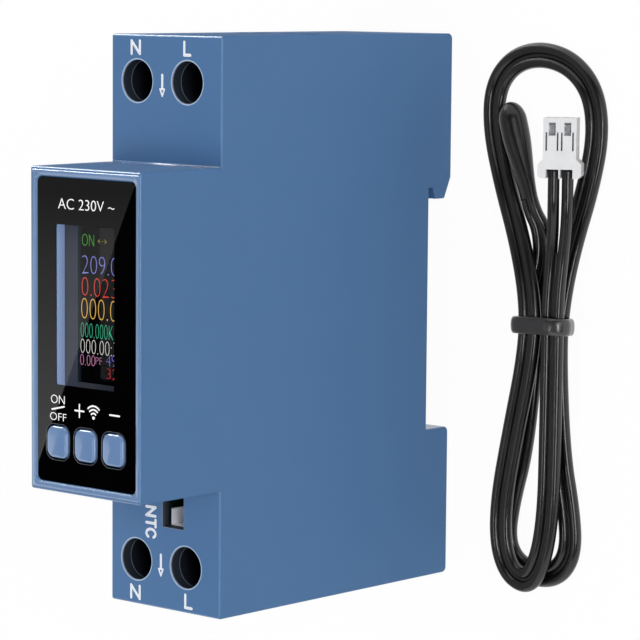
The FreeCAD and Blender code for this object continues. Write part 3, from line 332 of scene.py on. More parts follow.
def makeShadedBore(name, lip, depth):
    # Painted highlight on the lip of an opening and painted shade on its wall below: the piece's own mark goes from
    # wall to lip
    material, tree, shader = newFinish(name, {"Roughness": 0.5, "Specular IOR Level": 0.06})
    mark = addNode(tree, "ShaderNodeAttribute", {"attribute_name": "across"}).outputs["Fac"]
    place = addNode(tree, "ShaderNodeTexCoord").outputs["Object"]
    mottle = addNode(tree, "ShaderNodeTexNoise", {"Scale": 1000/0.6, "Detail": 3.0}, {"Vector": place})
    share = addNode(tree, "ShaderNodeMapRange", {"To Min": 0.85, "To Max": 1.15}, {"Value": mottle.outputs["Fac"]})
    shown = addNode(tree, "ShaderNodeMath", {"operation": "MULTIPLY", "use_clamp": True},
                    {0: mark, 1: share.outputs["Result"]})
    colour = addNode(tree, "ShaderNodeMix", {"data_type": "RGBA", 6: linear(depth), 7: linear(lip)},
                     {0: shown.outputs["Value"]})
    tree.links.new(colour.outputs[2], shader.inputs["Base Color"])
    return material


finishes = {name: makePlainFinish(name) for name in plainFinishes}
finishes["clearAcrylic"] = makeClearAcrylic(clearAcrylic)
finishes["darkDisplayGlass"] = makeDisplayGlass()
finishes["shoulderMark"] = makeLaserMark("shoulderMark", "#fbfcfd", "#d5dce6")
# The lip's pale blue is a painted highlight, the wall's near black a painted shade
finishes["shadedBore"] = makeShadedBore("shadedBore", "#c2d3ec", "#060b16")
finishes["panelPrint"] = makeLaserMark("panelPrint", "#ffffff", "#f6f6f6")
print("finishes made:", len(finishes))

finishOfSlot = {
    "case_blue": "sparkTexturedAbs", "panel_clear": "clearAcrylic", "mask_black": "blackPrintedFilm",
    "display_frame": "greyDisplayBezel", "display_black": "darkDisplayGlass", "board_green": "greenSolderMask",
    "zinc_steel": "zincPlatedSteel", "cap_blue": "paleAbsPaintedLight", "switch_black": "blackNylon",
    "switch_metal": "nickelPlate", "gold_contact": "goldFlash", "relay_black": "blackPbt",
    "winding_yellow": "yellowPolyesterTape", "can_aluminium": "drawnAluminium", "disc_blue": "blueDippedEpoxy",
    "copper": "rolledCopper", "chip_black": "blackMouldCompound", "shield_steel": "tinnedShield",
    "socket_white": "naturalNylon", "tin_contact": "mattTin", "latch_black": "blackAcetal",
    "spring_steel": "drawnSpringSteel", "cable_black": "satinPvc", "tie_rubber": "bloomedRubber",
    "bead_black": "shrunkSleeve", "plug_white": "whitePa66",
}
for part in frame["record"]["subparts"]:
    node = frame["nodes"][part["node"]]
    node.data.materials.clear()
    # Screws take the near-black steel: painted shade at the bottom of their guides
    screw = part["node"].startswith("screw_")
    node.data.materials.append(finishes["paintedShadeSteel" if screw else finishOfSlot[part["material_slot"]]])
print("CAD nodes finished")


# Probe lead: a flat pair of wires, tied in a hank beside the case, from the sensor bead to the plug
lead = {"radius": 0.85, "pitch": 2.0, "floor": 0.05, "layer": 2.18, "column": 30.0, "apart": 4.16, "lean": 1.0,
        "waist": (2.4, -5.0), "tieThickness": 0.7, "tieGap": 0.05, "length": 0.30, "around": 20,
        "webWide": 0.42, "webThick": 0.3, "webShare": 0.93,
        "beadEnd": (27.2, 16.95), "beadLean": 16.0, "beadRoll": -30.0, "beadHeight": 2.17, "pocket": 1.2,
        "plugPlace": (35.19, 20.45, 5.22), "plugRoll": -30.0}
# Each turn: its tip, its swing on the way out and back, two powers that shape it, and how many points it has
firstTurn = {"tip": (29.3, -38.6), "swing": (-7.3, -5.7), "reach": 0.7, "flare": 0.7, "points": 9}
upperTurn = {"tip": (27.9, 38.0), "swing": (10.7, 10.1), "reach": 1.1, "flare": 0.5, "points": 11}
secondTurn = {"tip": (28.0, -39.3), "swing": (-4.4, -2.3), "reach": 0.8, "flare": 0.05, "points": 9}


def beadAxis():
    angle = np.radians(lead["beadLean"])
    return np.array([*lead["beadEnd"], lead["beadHeight"]]), np.array([np.sin(angle), -np.cos(angle), 0])


def hankTurn(start, end, turn, levels):
    # Along the hank a half sine to a power carries the turn to its tip; across it a full sine swings out and back
    u = np.arange(1, turn["points"] + 1)/(turn["points"] + 1)
    rise = np.sin(np.pi*u)
    swing = np.where(u < 0.5, *turn["swing"])*np.sin(2*np.pi*u)*rise**turn["flare"]
    along = rise**turn["reach"]
    x = start[0] + (end[0] - start[0])*u + (turn["tip"][0] - (start[0] + end[0])/2)*along + swing
    y = start[1] + (turn["tip"][1] - start[1])*along
    z = np.interp(u*(len(levels) - 1), np.arange(len(levels)), levels)
    return np.stack([x, y, z, 0*u], 1)


def leadRoute():
    # Control points of the pair's middle line in mm, and the pair's roll in degrees at each
    ground = lead["floor"] + lead["radius"]
    layer = ground + lead["layer"]
    lower = ground + lead["tieThickness"] + lead["tieGap"]
    upper = lower + lead["layer"]
    high, low = lead["waist"]
    left, right = lead["column"] - lead["apart"]/2, lead["column"] + lead["apart"]/2
    end, outward = beadAxis()
    route = [[*(end + outward*step), lead["beadRoll"]] for step in (-lead["pocket"], 1.7)]
    route += [[28.65, 12.8, 1.15, lead["beadRoll"]/2], [29.15, 9.4, ground, 0], [28.5, 5.8, ground + 0.03, 0]]
    route += [[left, high, lower, 0], [left, low, lower, 0]]
    route += hankTurn((left, low), (right, low), firstTurn, [lower, ground, ground, ground, lower]).tolist()
    route += [[right, low, lower, 0], [right + 0.5, high, lower, 0]]
    climb = hankTurn((right, high), (left + lead["lean"], high), upperTurn,
                     [lower] + [ground]*10 + [layer - 0.5, upper])
    climb[-2] = [climb[-2][0] - 0.5, climb[-2][1], ground, 0]
    route += climb.tolist()
    left, right = left + lead["lean"], right + lead["lean"]
    route += [[left, high, upper, 0], [left, low, upper, 0]]
    route += hankTurn((left, low), (right, low), secondTurn, [upper, layer, layer, layer, upper]).tolist()
    route += [[right, low, upper, 0], [right, high, upper, 0]]
    x, y, z = lead["plugPlace"]
    route += [[x - 1.5, 8.0, 3.9, 0], [x - 0.6, 13.0, 4.5, lead["plugRoll"]/2]]
    route += [[x, y + step, z, lead["plugRoll"]] for step in (-3.7, -1.7, lead["pocket"])]
    return np.array(route)


def smoothLine(route):
    # Points of the quadratic NURBS spline that has the route as its control points, and the roll along it
    curve = bpy.data.curves.new("leadLine", "CURVE")
    curve.dimensions = "3D"
    spline = curve.splines.new("NURBS")
    spline.points.add(len(route) - 1)
    spline.points.foreach_set("co", np.c_[route[:, :3]*mm, np.ones(len(route))].ravel())
    spline.order_u = 3
    spline.use_endpoint_u = True
    spline.resolution_u = 16
    holder = bpy.data.objects.new("leadLine", curve)
    bpy.context.scene.collection.objects.link(holder)
    bpy.context.view_layer.update()
    mesh = bpy.data.meshes.new_from_object(holder.evaluated_get(bpy.context.evaluated_depsgraph_get()))
    line = np.zeros(len(mesh.vertices)*3)
    mesh.vertices.foreach_get("co", line)
    line = line.reshape(-1, 3)/mm
    bpy.data.objects.remove(holder)
    bpy.data.curves.remove(curve)
    bpy.data.meshes.remove(mesh)
    legs = np.r_[route[0, 3], (route[1:-2, 3] + route[2:-1, 3])/2, route[-1, 3]]
    roll = np.radians(np.interp(np.linspace(0, len(legs) - 1, len(line)), np.arange(len(legs)), legs))
    return line, roll


def leadFrame(line, roll):
    # Across is level and square to the line; the roll then tips it and the direction above it about the line
    forward = np.gradient(line, axis=0)
    forward /= np.linalg.norm(forward, axis=1)[:, None]
    level = np.stack([forward[:, 1], -forward[:, 0], 0*roll], 1)
    level /= np.linalg.norm(level, axis=1)[:, None]
    above = np.cross(level, forward)
    turn, tip = np.cos(roll)[:, None], np.sin(roll)[:, None]
    return level*turn + above*tip, above*turn - level*tip


def makeLead():
    line, roll = smoothLine(leadRoute())
    wide, high = leadFrame(line, roll)
    angle = np.linspace(0, 2*np.pi, lead["around"], endpoint=False)[None, :, None]
    tubes = []
    for side in (1, -1):
        # Each ring is a circle in the plane of the two directions, half a pitch to its side of the middle line
        middle = line + wide*side*lead["pitch"]/2
        tubes.append(middle[:, None] + lead["radius"]*(np.cos(angle)*wide[:, None] + np.sin(angle)*high[:, None]))
    # The thin web that joins the two wires ends where they part for the plug: a flat oval on the middle line
    joined = slice(None, int(len(line)*lead["webShare"]))
    tubes.append(line[joined, None] + lead["webWide"]*np.cos(angle)*wide[joined, None]
                 + lead["webThick"]*np.sin(angle)*high[joined, None])
    piece = makePiece("probeLeadPair", tubes, finishes["satinPvc"], "case")
    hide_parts("probe_lead_a", "probe_lead_b")
    return piece, line


leadPair, leadLine = makeLead()
print("probe lead wound:", len(leadLine), "points along it")


# Rubber ring round the four passes of the pair at the hank's waist
tie = {"low": (27.1, 33.3), "high": (27.95, 34.05), "middle": 1.14, "thick": 0.44, "half": 1.25, "y": -1.3,
       "sway": 0.3, "swayStart": 0.6, "squareDepth": 0.95, "squareWidth": 0.85, "steps": 160, "around": 28,
       "oval": 0.4, "ovalHalf": (5.3, 3.1), "ovalAt": (30.65, 3.45)}


def makeTie():
    # Support curve: the corner furthest in each direction, plus the distance in that direction; evenly spaced after
    lower = lead["floor"] + lead["radius"] + lead["tieThickness"] + lead["tieGap"]
    upper = lower + lead["layer"]
    corners = np.array([(tie["low"][0], lower), (tie["low"][1], lower),
                        (tie["high"][1], upper), (tie["high"][0], upper)])
    turn = np.linspace(0, 2*np.pi, 721)
    out = np.stack([np.cos(turn), np.sin(turn)], 1)
    ring = corners[(out @ corners.T).argmax(1)] + tie["middle"]*out
    # A share of an oval with the same outward directions rounds it, as pulled rubber bulges over the bundle
    half = np.array(tie["ovalHalf"])
    oval = tie["ovalAt"] + out*half**2/np.linalg.norm(out*half, axis=1)[:, None]
    ring += tie["oval"]*(oval - ring)
    walked = np.r_[0, np.cumsum(np.linalg.norm(np.diff(ring, axis=0), axis=1))]
    even = np.linspace(0, walked[-1], tie["steps"] + 1)[:-1]
    ring = np.stack([np.interp(even, walked, ring[:, i]) for i in (0, 1)], 1)
    out = np.stack([np.interp(even, walked, out[:, i]) for i in (0, 1)], 1)
    # Section: a squarish oval, as long as the ring is wide and as thick as the rubber
    t = np.linspace(0, 2*np.pi, tie["around"], endpoint=False)
    depth = tie["thick"]*np.sign(np.sin(t))*np.abs(np.sin(t))**tie["squareDepth"]
    width = tie["half"]*np.sign(np.cos(t))*np.abs(np.cos(t))**tie["squareWidth"]
    flat = ring[:, None] + out[:, None]*depth[None, :, None]
    # The ring sways a little along the hank as it goes round
    sway = tie["sway"]*np.sin(2*np.pi*np.arange(len(ring))/len(ring) + tie["swayStart"])
    grid = np.stack([flat[..., 0], tie["y"] + sway[:, None] + width, flat[..., 1]], -1)
    piece = makePiece("tieRing", [grid], finishes["bloomedRubber"], "case", looped=True)
    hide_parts("lead_tie")
    return piece


# Sensor bead under its shrunk sleeve, flatter towards the wires
bead = {"length": 14.4, "radius": 2.0, "endWide": 1.98, "endHigh": 1.02, "nose": 0.2, "taper": 0.3,
        "tip": 0.0015, "square": 0.85, "steps": 60, "around": 40}


def makeBead():
    # Half circle nose, then a barrel whose width grows and height falls to the flat mouth, in superellipse sections
    end, outward = beadAxis()
    s = np.clip((1 - np.cos(np.linspace(0, np.pi, bead["steps"])))/2, bead["tip"], 1)
    nose = np.sqrt(1 - (1 - np.minimum(s/bead["nose"], 1))**2)
    late = np.clip((s - bead["taper"])/(1 - bead["taper"]), 0, 1)
    late = late*late*(3 - 2*late)
    wide = nose*(bead["radius"] + (bead["endWide"] - bead["radius"])*late)
    high = nose*(bead["radius"] + (bead["endHigh"] - bead["radius"])*late)
    across = np.array([outward[1], -outward[0], 0])
    above = np.cross(across, outward)
    roll = np.radians(lead["beadRoll"])
    side, top = across*np.cos(roll) + above*np.sin(roll), above*np.cos(roll) - across*np.sin(roll)
    t = np.linspace(0, 2*np.pi, bead["around"], endpoint=False)
    aside = np.sign(np.cos(t))*np.abs(np.cos(t))**bead["square"]
    upward = np.sign(np.sin(t))*np.abs(np.sin(t))**bead["square"]
    middle = end + outward*((s - 1)*bead["length"])[:, None]
    grid = middle[:, None] + side*(wide[:, None]*aside)[..., None] + top*(high[:, None]*upward)[..., None]
    piece = makePiece("sensorBead", [grid], finishes["shrunkSleeve"], "case")
    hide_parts("probe_bead")
    return piece


tieRing = makeTie()
sensorBead = makeBead()
print("tie and bead made")


def strokeGrid(path, width, height, plane):
    # Band along the path: its half width stays, then follows a circle past each end; its top is a low dome
    path = np.array(path, float)
    walked = np.r_[0, np.cumsum(np.linalg.norm(np.diff(path, axis=0), axis=1))]
    half = width/2
    over = half*np.sin(np.linspace(0, np.pi/2, 7))[1:]*0.995
    even = np.linspace(0, walked[-1], max(2, int(walked[-1]/0.12) + 1))
    spot = np.r_[-over[::-1], even, walked[-1] + over]
    past = np.maximum(np.maximum(-spot, spot - walked[-1]), 0)
    first, last = path[1] - path[0], path[-1] - path[-2]
    first, last = first/np.linalg.norm(first), last/np.linalg.norm(last)
    middle = np.stack([np.interp(spot, walked, path[:, i]) for i in (0, 1)], 1)
    middle += first*np.minimum(spot, 0)[:, None] + last*np.maximum(spot - walked[-1], 0)[:, None]
    ahead = np.gradient(middle, axis=0)
    ahead /= np.linalg.norm(ahead, axis=1)[:, None]
    side = np.stack([-ahead[:, 1], ahead[:, 0]], 1)
    v = np.r_[np.linspace(-1, 1, 9), 1, -1]
    rise = np.r_[height*(1 - np.linspace(-1, 1, 9)**4), -0.01, -0.01]
    wide = np.sqrt(np.maximum(half**2 - past**2, 0))
    flat = middle[:, None] + side[:, None]*(wide[:, None]*v)[..., None]
    grid = np.concatenate([flat, np.broadcast_to(plane + rise, flat.shape[:2])[..., None]], -1)
    # The outline follows the end's half circle too: distance from the middle over the half width
    away = np.sqrt((wide[:, None]*v)**2 + past[:, None]**2)/half
    return grid, away


def makeMarks(name, strokes, width, height, plane, finish):
    grids = [strokeGrid(path, width, height, plane) for path in strokes]
    return makePiece(name, [g for g, _ in grids], finish, "case", across=[a for _, a in grids])


def arc(centre, radius, start, end, count=16):
    # Points at even angles on a circle
    t = np.radians(np.linspace(start, end, count))
    return np.stack([centre[0] + radius*np.cos(t), centre[1] + radius*np.sin(t)], 1)


# Terminal letters and arrows on the two shoulders, in mm
shoulderMarks = {"plane": 49.6, "width": 0.4, "thin": 0.26, "height": 0.025,
                 "upperLine": (39.57, 37.78), "lowerLine": (-37.87, -39.69),
                 "arrows": ((-0.76, 34.9, 32.0), (-0.8, -32.8, -35.77))}


def makeShoulderMarks(look):
    top, bottom = look["upperLine"]
    letters = [[(-6.8, bottom), (-6.8, top)], [(-6.8, top), (-5.17, bottom)], [(-5.17, bottom), (-5.17, top)],
               [(3.5, top), (3.5, bottom)], [(3.5, bottom), (4.65, bottom)]]
    top, bottom = look["lowerLine"]
    letters += [[(-6.74, bottom), (-6.74, top)], [(-6.74, top), (-5.03, bottom)], [(-5.03, bottom), (-5.03, top)],
                [(4.03, top), (4.03, bottom)], [(4.03, bottom), (5.29, bottom)]]
    # The probe port's letters read downwards: their up is +X
    letters += [[(-3.7, -26.15), (-1.88, -26.15)], [(-1.88, -26.15), (-3.7, -27.4)], [(-3.7, -27.4), (-1.88, -27.4)]]
    letters += [[(-1.88, -27.95), (-1.88, -28.95)], [(-1.88, -28.45), (-3.7, -28.45)]]
    letters += [arc((0, 0), 1, 35, 325, 24)[:, ::-1]*(0.91, -0.62) + (-2.79, -29.95)]
    for x, top, tip in look["arrows"]:
        letters += [[(x, top), (x, tip + 1.15)]]
    makeMarks("shoulderLetters", letters, look["width"], look["height"], look["plane"], finishes["shoulderMark"])
    heads = [[(x - 0.42, tip + 0.95), (x + 0.42, tip + 0.95)] for x, _, tip in look["arrows"]]
    heads += [[(x - 0.42, tip + 0.95), (x, tip)] for x, _, tip in look["arrows"]]
    heads += [[(x + 0.42, tip + 0.95), (x, tip)] for x, _, tip in look["arrows"]]
    makeMarks("arrowHeads", heads, look["thin"], look["height"], look["plane"] + 0.001, finishes["shoulderMark"])


makeShoulderMarks(shoulderMarks)


def makeWords(name, words, plane, thickness, thinner, finish):
    # Each word's outline fills its own box: left, right, bottom and top in mm
    points, faces, first = [], [], 0
    for text, left, right, bottom, top in words:
        curve = bpy.data.curves.new(name, "FONT")
        curve.body = text
        curve.extrude = 0.5
        curve.resolution_u = 6
        curve.offset = -thinner  # in shares of the letters' height
        holder = bpy.data.objects.new(name, curve)
        bpy.context.scene.collection.objects.link(holder)
        bpy.context.view_layer.update()
        mesh = bpy.data.meshes.new_from_object(holder.evaluated_get(bpy.context.evaluated_depsgraph_get()))
        spots = np.zeros(len(mesh.vertices)*3)
        mesh.vertices.foreach_get("co", spots)
        spots = spots.reshape(-1, 3)
        low, high = spots.min(0), spots.max(0)
        share = (spots - low)/(high - low)
        points.append(np.array([left, bottom, plane]) + share*[right - left, top - bottom, thickness])
        faces += [[first + v for v in face.vertices] for face in mesh.polygons]
        first += len(spots)
        bpy.data.objects.remove(holder)
        bpy.data.curves.remove(curve)
        bpy.data.meshes.remove(mesh)
    mesh = bpy.data.meshes.new(name)
    mesh.from_pydata((np.concatenate(points)*mm).tolist(), [], faces)
    mark = mesh.attributes.new("across", "FLOAT", "POINT")
    mark.data.foreach_set("value", np.ones(first, np.float32))
    return addPiece(name, mesh, finish, "case")


def roundedOutline(middle, half, radius, around):
    # Corner centres and outward directions: a quarter circle of directions at each corner, in turn
    turn = np.linspace(0, 2*np.pi, around, endpoint=False) + 1e-6
    out = np.stack([np.cos(turn), np.sin(turn)], 1)
    return np.array(middle) + np.sign(out)*(np.array(half) - radius), out


def ringGrid(middle, half, radius, profile, around=96):
    # Profile of steps outwards and heights, carried round the outline; a circle is an outline with half = radius
    centres, out = roundedOutline(middle, half, radius, around)
    step, z = np.array(profile).T
    flat = centres[:, None] + out[:, None]*(radius + step)[None, :, None]
    return np.concatenate([flat, np.broadcast_to(z, flat.shape[:2])[..., None]], -1)


def ringMark(profile, marks, around=96):
    return np.broadcast_to(np.array(marks, float), (around, len(profile)))


# Terminal openings and the probe port, in mm: a lip with painted highlight at each mouth, and a lining of the wall
# below it in painted shade
openings = {"bores": ((-5.65, 34.0), (4.1, 34.0), (-5.65, -34.0), (4.1, -34.0)), "boreRadius": 3.0,
            "port": (1.6, -25.8), "portHalf": (2.1, 2.9), "portRound": 0.12, "face": 49.6,
            # Steps outwards from the outline and heights from the face: from the lip down the guide to the screw
            "profile": ((0.16, -0.01), (0.14, 0.012), (0.03, 0.012), (-0.05, -0.07), (-0.06, -0.3), (-0.06, -1.7),
                        (-0.1, -1.76), (-0.1, -1.86), (-0.05, -6.4), (0.02, -6.4), (0.02, -1.9), (0.02, -0.1)),
            # Share of painted light at each step of the profiles: one is the lip's painted highlight, zero the wall's
            # painted shade; portMarks does the same for the port
            "marks": (0.6, 0.8, 0.9, 0.5, 0.05, 0.03, 0.3, 0.02, 0, 0, 0, 0),
            "portProfile": ((0.07, -0.01), (0.06, 0.01), (0.0, 0.01), (-0.03, -0.05), (-0.03, -1.8), (0.02, -1.8),
                            (0.02, -0.1)),
            "portMarks": (0.4, 0.4, 0.4, 0.12, 0, 0, 0)}


def makeOpenings(look):
    profile = np.array(look["profile"]) + (0, look["face"])
    portProfile = np.array(look["portProfile"]) + (0, look["face"])
    bore = (look["boreRadius"], look["boreRadius"])
    grids = [ringGrid(place, bore, look["boreRadius"], profile) for place in look["bores"]]
    grids.append(ringGrid(look["port"], look["portHalf"], look["portRound"], portProfile))
    marks = [ringMark(profile, look["marks"])]*4 + [ringMark(portProfile, look["portMarks"])]
    makePiece("openingMouths", grids, finishes["shadedBore"], "case", looped=True, across=marks)


makeOpenings(openings)


# Flat land of the nose round the panel, in mm: from the outer edge to the chamfer of the recess; a thin skin in the
# paler ABS, painted light on the nose's front
noseLand = {"outer": (10.45, 22.08), "outerRound": 0.08, "inner": (9.8, 21.35), "innerX": 0.15, "innerRound": 1.1,
            "level": 65.3, "thick": 0.012}


def makeNoseLand(look):
    # Two outlines with the same corners, joined by a flat strip: four rows of points closed to a ring
    outerAt, out = roundedOutline((0, 0), look["outer"], look["outerRound"], 96)
    innerAt, _ = roundedOutline((look["innerX"], 0), look["inner"], look["innerRound"], 96)
    outer, inner = outerAt + out*look["outerRound"], innerAt + out*look["innerRound"]
    low, high = look["level"] - 0.01, look["level"] + look["thick"]
    corners = ((outer, low), (outer, high), (inner, high), (inner, low))
    rows = [np.c_[edge, np.full(len(edge), z)] for edge, z in corners]
    makePiece("noseLand", [np.stack(rows, 1)], finishes["paleAbsPaintedLight"], "case", looped=True)


makeNoseLand(noseLand)


# Socket behind the probe port, in mm: blocks of its shroud, open at the left above its lower corner, and its floor
socket = {"blocks": (((-0.95, -29.0, 41.6), (-0.5, -26.35, 47.75)), ((3.7, -29.0, 41.6), (4.15, -22.6, 47.75)),
                     ((-0.95, -29.0, 41.6), (4.15, -28.55, 47.75)), ((-0.95, -23.05, 41.6), (4.15, -22.6, 46.0)),
                     ((-0.95, -29.0, 40.0), (4.15, -22.6, 41.8))), "round": 0.2}


def makeSocket(look):
    # Each block is a rounded outline between two heights, drawn in a little at both ends
    grids = []
    for low, high in look["blocks"]:
        middle, half = np.add(low, high)[:2]/2, np.subtract(high, low)[:2]/2
        inset = look["round"]*0.5
        profile = ((-inset, low[2]), (0, low[2] + inset), (0, high[2] - inset), (-inset, high[2]))
        grids.append(ringGrid(middle, half, look["round"], profile, 48).transpose(1, 0, 2))
    piece = makePiece("socketShroud", grids, finishes["naturalNylon"], "case")
    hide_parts("ntc_socket")


makeSocket(socket)


# Lining of the opening round the display, in mm: a skin that carries the collar's painted light
collar = {"middle": (-0.05, 2.85), "half": (7.95, 13.0), "round": 0.1,
          "profile": ((0.01, 60.78), (-0.02, 60.78), (-0.02, 63.66), (0.01, 63.66))}
makePiece("collarLining", [ringGrid(collar["middle"], collar["half"], collar["round"], collar["profile"])],
          finishes["collarAbsPaintedLight"], "case", looped=True)


# Small fillets where the shoulders meet the nose, in mm: they catch a thin line of light, brightened by the paler ABS
# as painted highlight
fillets = {"half": 10.45, "nose": 22.5, "face": 49.6, "radius": 0.16}


def makeFillets(look):
    # Quarter circle between the two faces, closed by its corner, drawn straight across the case
    t = np.linspace(0, np.pi/2, 8)
    y = np.r_[look["nose"] - 0.01, look["nose"] + look["radius"]*(1 - np.sin(t))]
    z = np.r_[look["face"] - 0.01, look["face"] + look["radius"]*(1 - np.cos(t))]
    x = np.linspace(-look["half"], look["half"], 3)
    flat = np.stack([np.broadcast_to(x[:, None], (3, 9)), np.broadcast_to(y, (3, 9)), np.broadcast_to(z, (3, 9))], -1)
    makePiece("shoulderFillets", [flat, flat*(1, -1, 1)], finishes["paleAbsPaintedLight"], "case")


makeFillets(fillets)


# Button caps, in mm: crowned cap, flange behind the panel and stem down to the switch
cap = {"places": {"on_off": -5.387, "plus": 0.08, "minus": 5.547}, "y": -15.5, "half": (2.083, 2.25), "round": 1.25,
       "top": 65.64, "foot": 61.9, "edge": 0.55, "crown": 0.1, "flange": (2.648, 3.2), "flangeRound": 1.0,
       "flangeZ": (61.3, 62.0), "stem": 1.2, "stemFoot": 60.62,
       # Edge round each cap's hole in the panel, bright with painted highlight: steps outwards from the hole, and
       # heights
       "holeHalf": (2.333, 2.5), "holeRound": 1.5,
       "holeEdge": ((-0.01, 65.08), (-0.01, 65.205), (0.05, 65.212), (0.05, 65.19))}


def makeCap(label, x):
    # Straight skirt, quarter circle edge, then a face that rises with the square of the way to its middle
    turn = np.linspace(0, np.pi/2, 8)
    inset = np.r_[0, cap["edge"]*(1 - np.cos(turn))]
    skirt = np.r_[cap["foot"], cap["top"] - cap["crown"] - cap["edge"]*(1 - np.sin(turn))]
    share = np.linspace(1, 0.02, 12)[1:]
    edge = 1 - cap["edge"]/cap["half"][0]
    scale = np.r_[1 - inset/cap["half"][0], edge*share]
    z = np.r_[skirt, cap["top"] - cap["crown"]*share**2]
    centres, out = roundedOutline((0, 0), cap["half"], cap["round"], 64)
    flat = (centres + out*cap["round"])[None]*scale[:, None, None] + (x, cap["y"])
    body = np.concatenate([flat, np.broadcast_to(z[:, None, None], (*flat.shape[:2], 1))], -1)
    parts = [body]
    for half, radius, low, high in ((cap["flange"], cap["flangeRound"], *cap["flangeZ"]),
                                    ((cap["stem"],)*2, cap["stem"], cap["stemFoot"], cap["flangeZ"][0] + 0.1)):
        outline = ringGrid((x, cap["y"]), half, radius, ((0, low), (0, high)), 64)
        parts.append(outline.transpose(1, 0, 2))
    piece = makePiece("capOf_" + label, parts, finishes["paleAbsPaintedLight"], "button_" + label)
    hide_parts("button_" + label)


for label, x in cap["places"].items():
    makeCap(label, x)
holeEdges = [ringGrid((x, cap["y"]), cap["holeHalf"], cap["holeRound"], cap["holeEdge"])
             for x in cap["places"].values()]
makePiece("holeEdges", holeEdges, finishes["acrylicEdgePaintedHighlight"], "case", looped=True)
print("openings, nose land and caps made")


# Print on the panel, in mm: generic rating, the switch's words and the signs over the buttons
panelPrint = {"plane": 65.2, "height": 0.02, "line": 0.24, "thinner": 0.012, "dotWidth": 0.5,
              "rating": ("AC 230V ~", -5.3, 5.7, 16.85, 18.3),
              "on": ("ON", -6.75, -4.04, -10.12, -8.95), "off": ("OFF", -6.96, -3.71, -12.48, -11.42),
              "fanDot": (1.65, -11.42), "fanArcs": (0.62, 1.12, 1.62)}


def makePanelPrint(look):
    words = [look[key] for key in ("rating", "on", "off")]
    makeWords("panelWords", words, look["plane"] - 0.005, look["height"] + 0.005, look["thinner"],
              finishes["panelPrint"])
    signs = [[(-6.55, -11.0), (-4.15, -10.45)], [(-2.0, -10.73), (-0.26, -10.73)], [(-1.13, -9.86), (-1.13, -11.6)],
             [(4.82, -10.7), (6.68, -10.7)]]
    signs += [arc(look["fanDot"], radius, 48, 132) for radius in look["fanArcs"]]
    makeMarks("panelSigns", signs, look["line"], look["height"], look["plane"], finishes["panelPrint"])
    dot = arc(look["fanDot"], 0.01, 0, 180, 4)
    makeMarks("fanDot", [dot], look["dotWidth"], look["height"], look["plane"], finishes["panelPrint"])


makePanelPrint(panelPrint)
print("lettering made")


# Figures of the display, in mm: word, its box (left, right, bottom, top), its colour
displayRows = {"plane": 60.7, "height": 0.02, "glow": 1.0, "thinner": 0.03, "rows": {
    "state": ([("ON", -4.6, -2.25, 11.6, 13.2)], "#58c03c"),
    "link": ([("\u2194", -1.5, 0.25, 12.05, 12.7)], "#b9ab2c"),
    "volts": ([("209.0", -4.6, 2.35, 7.7, 10.25), ("V", 2.9, 4.7, 7.7, 10.25)], "#8f8fe6"),
    "amperes": ([("0.023", -4.65, 2.2, 4.6, 7.25), ("A", 2.8, 4.6, 4.6, 7.25)], "#ea4630"),
    "watts": ([("000.0", -4.75, 2.2, 1.5, 4.35), ("W", 2.7, 4.9, 1.5, 4.35)], "#f7c257"),
    "energy": ([("000.000KWh", -4.85, 4.1, -1.1, 0.9)], "#3fc597"),
    "time": ([("000.00:31", -4.9, 3.1, -3.3, -1.35)], "#efece4"),
    "factor": ([("0.00", -4.95, -2.05, -5.0, -3.5), ("PF", -1.9, -0.65, -4.7, -3.7)], "#d78fb8"),
    "frequency": ([("49.9", 0.2, 3.5, -4.75, -3.2), ("Hz", 3.7, 5.1, -4.75, -3.75)], "#837fe2"),
    "heat": ([("32", 0.25, 2.3, -6.55, -5.1), ("C", 2.8, 3.7, -6.55, -5.1)], "#de2f35"),
}}


def makeDisplay(look):
    for name, (words, shade) in look["rows"].items():
        finish = makeLitPixels("litPixels_" + name, shade, look["glow"])
        makeWords("display_" + name, words, look["plane"] - 0.005, look["height"] + 0.005, look["thinner"], finish)


makeDisplay(displayRows)
print("display lit")


# Studio: white floor and surround, three lamps, and cards that only mirrors see
studio = {"ambient": 0.6, "floorHalf": 3.0, "floorShade": "#f2f2f2", "floorShow": 0.96, "floorLevel": -0.03,
          "aim": (0.01, 0.0, 0.03),
          # Lamp: direction it shines from, distance in metres, width of its square, power in watts
          "lamps": {"edgeLamp": ((-0.66, 0.74, 0.13), 1.2, 0.3, 2.0), "frontLamp": ((-0.1, -0.12, 1.0), 2.0, 0.6, 10.5),
                    "sideLamp": ((0.8, 0.2, 0.56), 2.0, 0.6, 13.0)},
          # Card that only mirrors see: direction, distance, half width and height in metres, its light
          "cards": {"edgeCard": ((-0.66, 0.742, 0.11), 0.8, 0.14, 0.14, 22.0),
                    "cornerCard": ((0.742, -0.11, 0.66), 0.5, 0.03, 0.12, 12.0),
                    "cameraCloth": ((0.66, 0.11, 0.742), 0.6, 0.5, 0.5, 0.02)},
          # Upright card close to the case's side, a painted reflection that lightens the side: its x, half length, two
          # heights in metres, its light
          "sideCard": (0.0109, 0.07, 0.0, 0.0652, 0.3),
          # Level blue cards close over the case's top and its nose's top, a painted blue reflection on those faces: y
          # and two heights, and what they share
          "roofs": {"topCard": (0.04065, 0.0, 0.0491), "noseTopCard": (0.02265, 0.0497, 0.0647)},
          "roofSpan": (-0.0117, 0.0108), "paintedRoofReflection": "#5f7a9c",
          "cardEdge": ((9.26, 20.1), (-9.59, -19.2)), "cardAway": 400.0, "cardReach": 400.0,
          # Light of the card at two heights in metres: it fades upwards
          "cardGlow": ((-0.085, 1.15), (-0.008, 0.24))}


